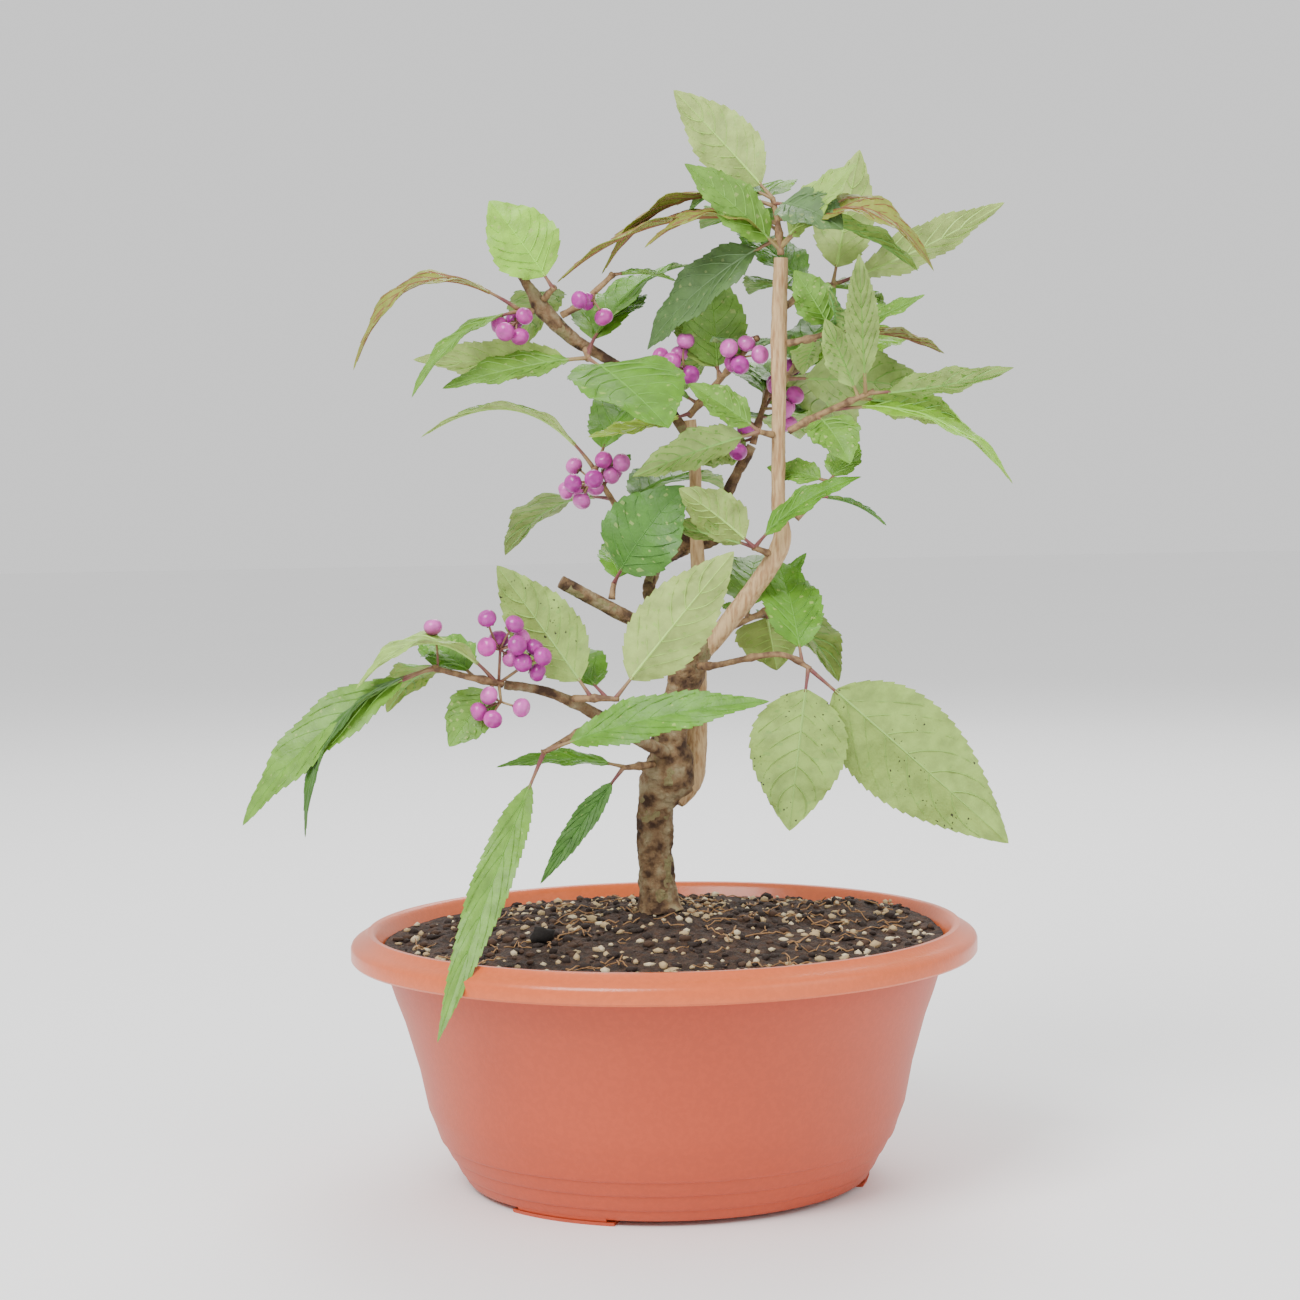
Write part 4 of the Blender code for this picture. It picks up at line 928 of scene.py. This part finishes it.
def addBerry(bm, place, toHub, radius, tint):  # one berry, flattened, with a dimple and dry sepals
    b = berries
    turn = toHub.to_track_quat("Z", "Y").to_matrix().to_4x4()
    lie = Matrix.Translation(place * mm) @ turn
    drupe = bmesh.ops.create_uvsphere(
        bm, u_segments=b["around"], v_segments=b["down"], radius=radius * mm, matrix=lie)
    for face in {face for vert in drupe["verts"] for face in vert.link_faces}:
        face.material_index = tint
    for vert in drupe["verts"]:
        way = (vert.co / mm - place) / radius
        dip = b["dimple"] * exp(-((way + toHub).length / b["dimpleWide"]) ** 2)
        vert.co += toHub * (dip * mm) - toHub * (way.dot(toHub) * b["flatten"] * radius * mm)
    root = place + toHub * (radius * b["sepalRoot"])
    for k in range(b["sepals"]):
        angle = 2 * pi * k / b["sepals"]
        out = turn.to_3x3() @ Vector((cos(angle), sin(angle), 0))
        side = out.cross(toHub)
        rows = []
        for end, wide, thick in zip((root, root + out * b["sepalLong"]), b["sepalWide"], b["sepalThick"]):
            rows.append([end - side * wide, end + toHub * thick, end + side * wide])
        skin(rows, bm=bm, look=len(b["tints"]))


def makeBerries(grown):
    looks = makeBerryLooks()
    count = 0
    for name, made in grown.items():
        rng = Random(name + " berries")
        spots = [(place, hub) for _, hub, places in made["clusters"] for place in places]
        if not spots:
            continue
        bm = bmesh.new()
        for place, hub in spots:
            radius = growth["berryRadius"] * rng.uniform(*berries["sizes"])
            tint = rng.randrange(len(berries["tints"]))
            addBerry(bm, place, (hub - place).normalized(), radius, tint)
        count += len(spots)
        addPiece(bm, name.replace("_foliage", "_berries"), looks, name, "foliage")
    print("berries ripened:", count)


bark = dict(
    dark=rgb(66, 46, 32), brown=rgb(122, 96, 68), grey=rgb(150, 136, 104), tan=rgb(196, 164, 122),
    tanDeep=rgb(156, 118, 80), moss=rgb(128, 130, 88), trunkSides=44, boughSides=26, step=0.55,
    rootShare=0.7, lumpScale=0.22, ridgeScale=0.9, ridgeStretch=0.35, crackWide=0.16, crackDeep=0.9,
    fineScale=2.6, fineHigh=0.22, patches=220.0, patchStops=(0.38, 0.5, 0.66), mossPatches=120.0,
    mossGrain=900.0, streaks=1400.0, streakStops=(0.34, 0.6), streakStretch=0.12,
)


def makeBarkLooks():
    b = bark
    rough, start, feed = newLook("roughBark", 0.88)
    tones = zip(b["patchStops"], (b["dark"], b["brown"], b["grey"]))
    coarse = start.noise(b["patches"], 6.0).ramp(*tones)
    moss = start.noise(b["mossPatches"]).above(0.6)
    feed("Base Color", moss.blend(coarse, start.noise(b["mossGrain"]).blend(b["moss"], b["brown"])))
    bumped(start, feed, start.noise(700.0, 6.0), 0.9, 0.0012)
    tanBark, start, feed = newLook("tanBark", 0.7)
    place = start.node("ShaderNodeTexCoord", {}, {}, out="Object")
    stretch = (1.0, 1.0, b["streakStretch"])
    stretched = start.node("ShaderNodeMapping", {}, {"Vector": place, "Scale": stretch})
    grain = {"Vector": stretched, "Scale": b["streaks"], "Detail": 4.0}
    streaks = start.node("ShaderNodeTexNoise", {}, grain)
    feed("Base Color", streaks.ramp(*zip(b["streakStops"], (b["tanDeep"], b["tan"]))))
    bumped(start, feed, streaks, 0.5, 0.0004)
    return rough, tanBark


def makeLimbs():
    b = bark
    rough, tanBark = makeBarkLooks()
    for name, limb in limbs.items():
        points = walk(limb["start"], limb["steps"])
        radii = list(limb["radii"])
        if "root" in limb:  # carried on into the limb below, so that no cut end shows
            points = [Vector(limb["root"]), *points]
            radii = [radii[0] * b["rootShare"], *radii]
        run = smoothRun(points, radii, b["step"])

        def relief(point, way, share, amount=limb["rough"]):  # lumps, lengthwise cracks and a fine grain
            lump = noise.fractal(point * b["lumpScale"], 0.8, 2.0, 3)
            squat = Vector((point.x, point.y, point.z * b["ridgeStretch"]))
            ridge = abs(noise.noise(squat * b["ridgeScale"]))
            crack = b["crackDeep"] * max(0.0, b["crackWide"] - ridge) / b["crackWide"]
            fine = b["fineHigh"] * noise.noise(point * b["fineScale"])
            return amount * (lump - crack + fine)

        bm = skin(tubeRings(run, b["trunkSides"] if name == "trunk" else b["boughSides"], relief))
        look, slot = (tanBark, "tan_wood") if limb["tan"] else (rough, "bark")
        addPiece(bm, name + "_bark", [look], name, slot)
    print("bark modelled on", len(limbs), "limbs")


pot = dict(
    # rim is a painted highlight: the rim's colour, lighter than the wall, stands in for the light the rim
    # catches
    wall=rgb(186, 80, 48), rim=rgb(204, 96, 52), shade=rgb(172, 68, 40), wallRough=0.48, rimGloss=0.2,
    sides=180, wallThick=1.6, wallRise=0.8, foot=50.8, under=1.5, floorTop=3.4, rimLow=57.3,
    bands=((52.3, 4.4), (54.6, 8.4), (56.9, 12.2)),
    bandStep=((0.25, 0.5), (0.0, 0.0), (-0.65, -0.35), (-0.8, -0.9)),
    radii=((58.3, 16.2), (59.8, 20.0), (61.8, 30.0), (65.2, 42.0), (67.4, 48.0), (69.3, 54.0)),
    rimLine=((71.6, 62.9), (72.3, 64.0), (72.9, 64.3), (73.9, 64.25), (74.6, 63.4), (76.4, 62.4),
             (77.5, 61.7), (77.95, 61.2), (78.2, 60.5), (78.2, 57.8), (77.8, 57.3), (76.8, 57.4),
             (71.5, 58.9), (69.9, 58.2)),
    feet=(-121.5, -1.5, 118.5), footIn=44.0, footOut=(50.3, 50.65), footSpan=33.0, footFacets=24,
    footSteps=((0.0, 0.0, 0.9), (2.2, 1.0, 1.9)),  # how far each step's ends draw in, its low and its top
    speckShade=(0.94, 0.94, 0.94), centre=0.01, bottomEdge=((0.0, 0.6), (-0.5, 0.0), (-8.0, 0.0)), sharp=38,
)


def potOutline():  # from the inside middle over the rim to the underside, as (radius, height)
    p = pot
    thick = p["wallThick"]
    line = [(p["centre"], p["floorTop"]), (p["foot"] - thick, p["floorTop"])]
    line += [(radius - thick, height + p["wallRise"]) for radius, height in p["bands"] + p["radii"]]
    line += p["rimLine"]
    wall = list(reversed(p["radii"]))
    for (ra, za), (rb, zb) in zip(wall, wall[1:]):
        line += [(ra + (rb - ra) * k / 3, za + (zb - za) * k / 3) for k in range(3)]
    line.append(wall[-1])
    for radius, height in reversed(p["bands"]):
        line += [(radius + inset, height + drop) for inset, drop in p["bandStep"]]
    line += [(p["foot"] + inset, p["under"] + lift) for inset, lift in p["bottomEdge"]]
    return line + [(p["centre"], p["under"])]


def makePot():
    p = pot
    look, start, feed = newLook("pottedTerracotta", p["wallRough"])
    # painted highlight: above rimLow the pot is painted the lighter rim colour; the same mask also makes the
    # rim glossier
    onRim = start.height().above(p["rimLow"] * mm)
    tone = onRim.blend(start.noise(9.0, 2.0).blend(p["wall"], p["shade"]), p["rim"])
    speck = start.noise(700.0, 2.0).ramp((0.45, p["speckShade"]), (0.6, (1, 1, 1)))
    multiply = {"data_type": "RGBA", "blend_type": "MULTIPLY"}
    feed("Base Color", start.node("ShaderNodeMix", multiply, {0: 1.0, 6: tone, 7: speck}, out=2))
    feed("Roughness", p["wallRough"] - p["rimGloss"] * onRim)
    bumped(start, feed, start.noise(1600.0, 3.0), 0.18, 0.0003)
    turns = [2 * pi * k / p["sides"] for k in range(p["sides"])]
    bm = skin([[(r * cos(t), r * sin(t), z) for t in turns] for r, z in potOutline()])
    for middle in p["feet"]:
        for inset, low, top in p["footSteps"]:
            span = p["footSpan"] - 2 * inset
            arc = []
            for k in range(p["footFacets"] + 1):
                angle = radians(middle - span / 2 + span * k / p["footFacets"])
                way = Vector((cos(angle), sin(angle), 0))
                arc.append([way * p["footIn"] + up * low, way * p["footOut"][0] + up * low,
                            way * p["footOut"][1] + up * top, way * p["footIn"] + up * top])
            skin(arc, bm=bm)
    bmesh.ops.recalc_face_normals(bm, faces=bm.faces)
    addPiece(bm, "bowl_pot", [look], "pot", "terracotta", sharp=p["sharp"])
    print("pot turned")


soil = dict(
    ground=dict(roughness=0.9, grain=420.0, detail=6.0, colours=(rgb(46, 32, 25), rgb(76, 54, 40)),
                stops=(0.4, 0.68), bump=(900.0, 1.0, 0.0015), bumpDetail=6.0),
    crumb=dict(roughness=0.85, grain=900.0, bump=(2400.0, 0.6, 0.0004)), crumbShade=0.7,
    crumbTints=dict(
        pumiceTan=rgb(190, 164, 122), pumicePale=rgb(214, 196, 160), peatCrumb=rgb(46, 32, 25),
        peatBrown=rgb(76, 54, 40), coirFibre=rgb(160, 120, 80), blackLump=rgb(30, 24, 20),
    ),
    edge=69.8, skirt=(66.0, 55.0), cells=150, calmFrom=62, calm=0.35, fall=5.0, fallWidth=52.0, pad=9.0,
    heap=(50.0, 22.0), heapHigh=3.6, heapWide=17.0, lumps=1.1, lumpScale=0.16, fine=0.5, fineScale=1.1,
    grains=520, grainSize=(0.5, 1.35), crumbs=900, crumbSize=(0.4, 1.5), sunk=0.15,
    blackLump=(-30.0, -18.0), blackLumpSize=2.6, blackLumpLift=1.6,
    fibres=150, fibrePoints=7, fibreRadius=(0.1, 0.22), fibreSides=5, fibreStep=(0.8, 1.9), fibreBend=0.6,
    fibreLift=0.5, fibreWave=(-0.3, 0.7),
)


def soilHeight(x, y):
    s = soil
    away = sqrt((x - trunkFoot.x) ** 2 + (y - trunkFoot.y) ** 2)
    fall = min(1.0, max(0.0, (away - s["pad"]) / s["fallWidth"]))
    heap = sqrt((x - s["heap"][0]) ** 2 + (y - s["heap"][1]) ** 2) / s["heapWide"]
    level = trunkFoot.z - growth["gap"] - s["fall"] * fall
    return level + s["heapHigh"] * exp(-heap * heap) * (1 if fall else 0)


def soilRelief(x, y):
    s = soil
    point = Vector((x, y, 0))
    lumps = s["lumps"] * noise.fractal(point * s["lumpScale"], 0.7, 2.2, 4)
    return lumps + s["fine"] * noise.noise(point * s["fineScale"])


def lumpAt(bm, place, size, look, rng, level=1):
    made = bmesh.ops.create_icosphere(bm, subdivisions=level, radius=1.0)
    squash = Vector((rng.uniform(0.7, 1.3), rng.uniform(0.7, 1.3), rng.uniform(0.5, 0.9)))
    seedWay = Vector((rng.uniform(0, 90), rng.uniform(0, 90), 0))
    for vert in made["verts"]:
        grow = 1 + 0.45 * noise.noise(vert.co * 1.3 + seedWay)
        vert.co = (Vector(vert.co * squash) * (size * grow) + place) * mm
    for face in {face for vert in made["verts"] for face in vert.link_faces}:
        face.material_index = look


def makeGround():  # the peat's surface, calm at the wall and turned down just inside it
    s = soil
    rings = []
    for i in range(1, s["cells"] // 2 + 1):
        radius = s["edge"] * i / (s["cells"] / 2)
        calm = 1 - max(0.0, (radius - s["calmFrom"]) / (s["edge"] - s["calmFrom"]))
        ring = []
        for k in range(s["cells"] * 2):
            angle = pi * k / s["cells"]
            x = radius * cos(angle)
            y = radius * sin(angle)
            relief = soilRelief(x, y) * (s["calm"] + (1 - s["calm"]) * calm)
            ring.append((x, y, soilHeight(x, y) + relief))
        rings.append(ring)
    inward, low = s["skirt"]
    rings.append([(x * inward / s["edge"], y * inward / s["edge"], low) for x, y, _ in rings[-1]])
    bm = skin(rings)
    bmesh.ops.recalc_face_normals(bm, faces=bm.faces)
    addPiece(bm, "peat_surface", [mottledLook("moistPeat", **s["ground"])], "soil", "soil")
    print("peat laid:", len(rings), "rings")


def onSoil(x, y):
    return soilHeight(x, y) + soilRelief(x, y)


def makeSoil():
    s = soil
    rng = Random("soil")
    makeGround()
    looks = []
    for name, tint in s["crumbTints"].items():
        looks.append(mottledLook(name, colours=(tint, scaled(tint, s["crumbShade"])), **s["crumb"]))
    bm = bmesh.new()
    for i in range(s["grains"] + s["crumbs"]):
        radius = (s["edge"] - 2) * sqrt(rng.random())
        angle = rng.uniform(0, 2 * pi)
        x = radius * cos(angle)
        y = radius * sin(angle)
        isGrain = i < s["grains"]
        size = rng.uniform(*s["grainSize"] if isGrain else s["crumbSize"])
        look = rng.choice((0, 0, 1)) if isGrain else rng.choice((2, 2, 3))
        lumpAt(bm, Vector((x, y, onSoil(x, y) + size * s["sunk"])), size, look, rng)
    x, y = s["blackLump"]
    lumpAt(bm, Vector((x, y, soilHeight(x, y) + s["blackLumpLift"])), s["blackLumpSize"], 5, rng, 2)
    addPiece(bm, "peat_grains", looks, None, "soil")
    print("grains and crumbs strewn:", s["grains"] + s["crumbs"])
    bm = bmesh.new()
    for _ in range(s["fibres"]):
        radius = (s["edge"] - 6) * sqrt(rng.random())
        angle = rng.uniform(0, 2 * pi)
        point = Vector((radius * cos(angle), radius * sin(angle), 0))
        heading = rng.uniform(0, 2 * pi)
        run = []
        for _ in range(s["fibrePoints"]):
            lift = s["fibreLift"] + rng.uniform(*s["fibreWave"])
            place = point + up * (onSoil(point.x, point.y) + lift)
            run.append((place, rng.uniform(*s["fibreRadius"])))
            heading += rng.uniform(-s["fibreBend"], s["fibreBend"])
            point = point + Vector((cos(heading), sin(heading), 0)) * rng.uniform(*s["fibreStep"])
        if point.length < s["edge"] - 2:
            skin(tubeRings(run, s["fibreSides"]), bm=bm)
    addPiece(bm, "coir_fibres", [looks[4]], None, "soil")
    print("fibres laid on the soil")


makeCamera()
makeStudio()
makePot()
makeSoil()
makeLimbs()
grown = growMasses()
makeLeaves(grown)
makeTwigs(grown)
makeBerries(grown)
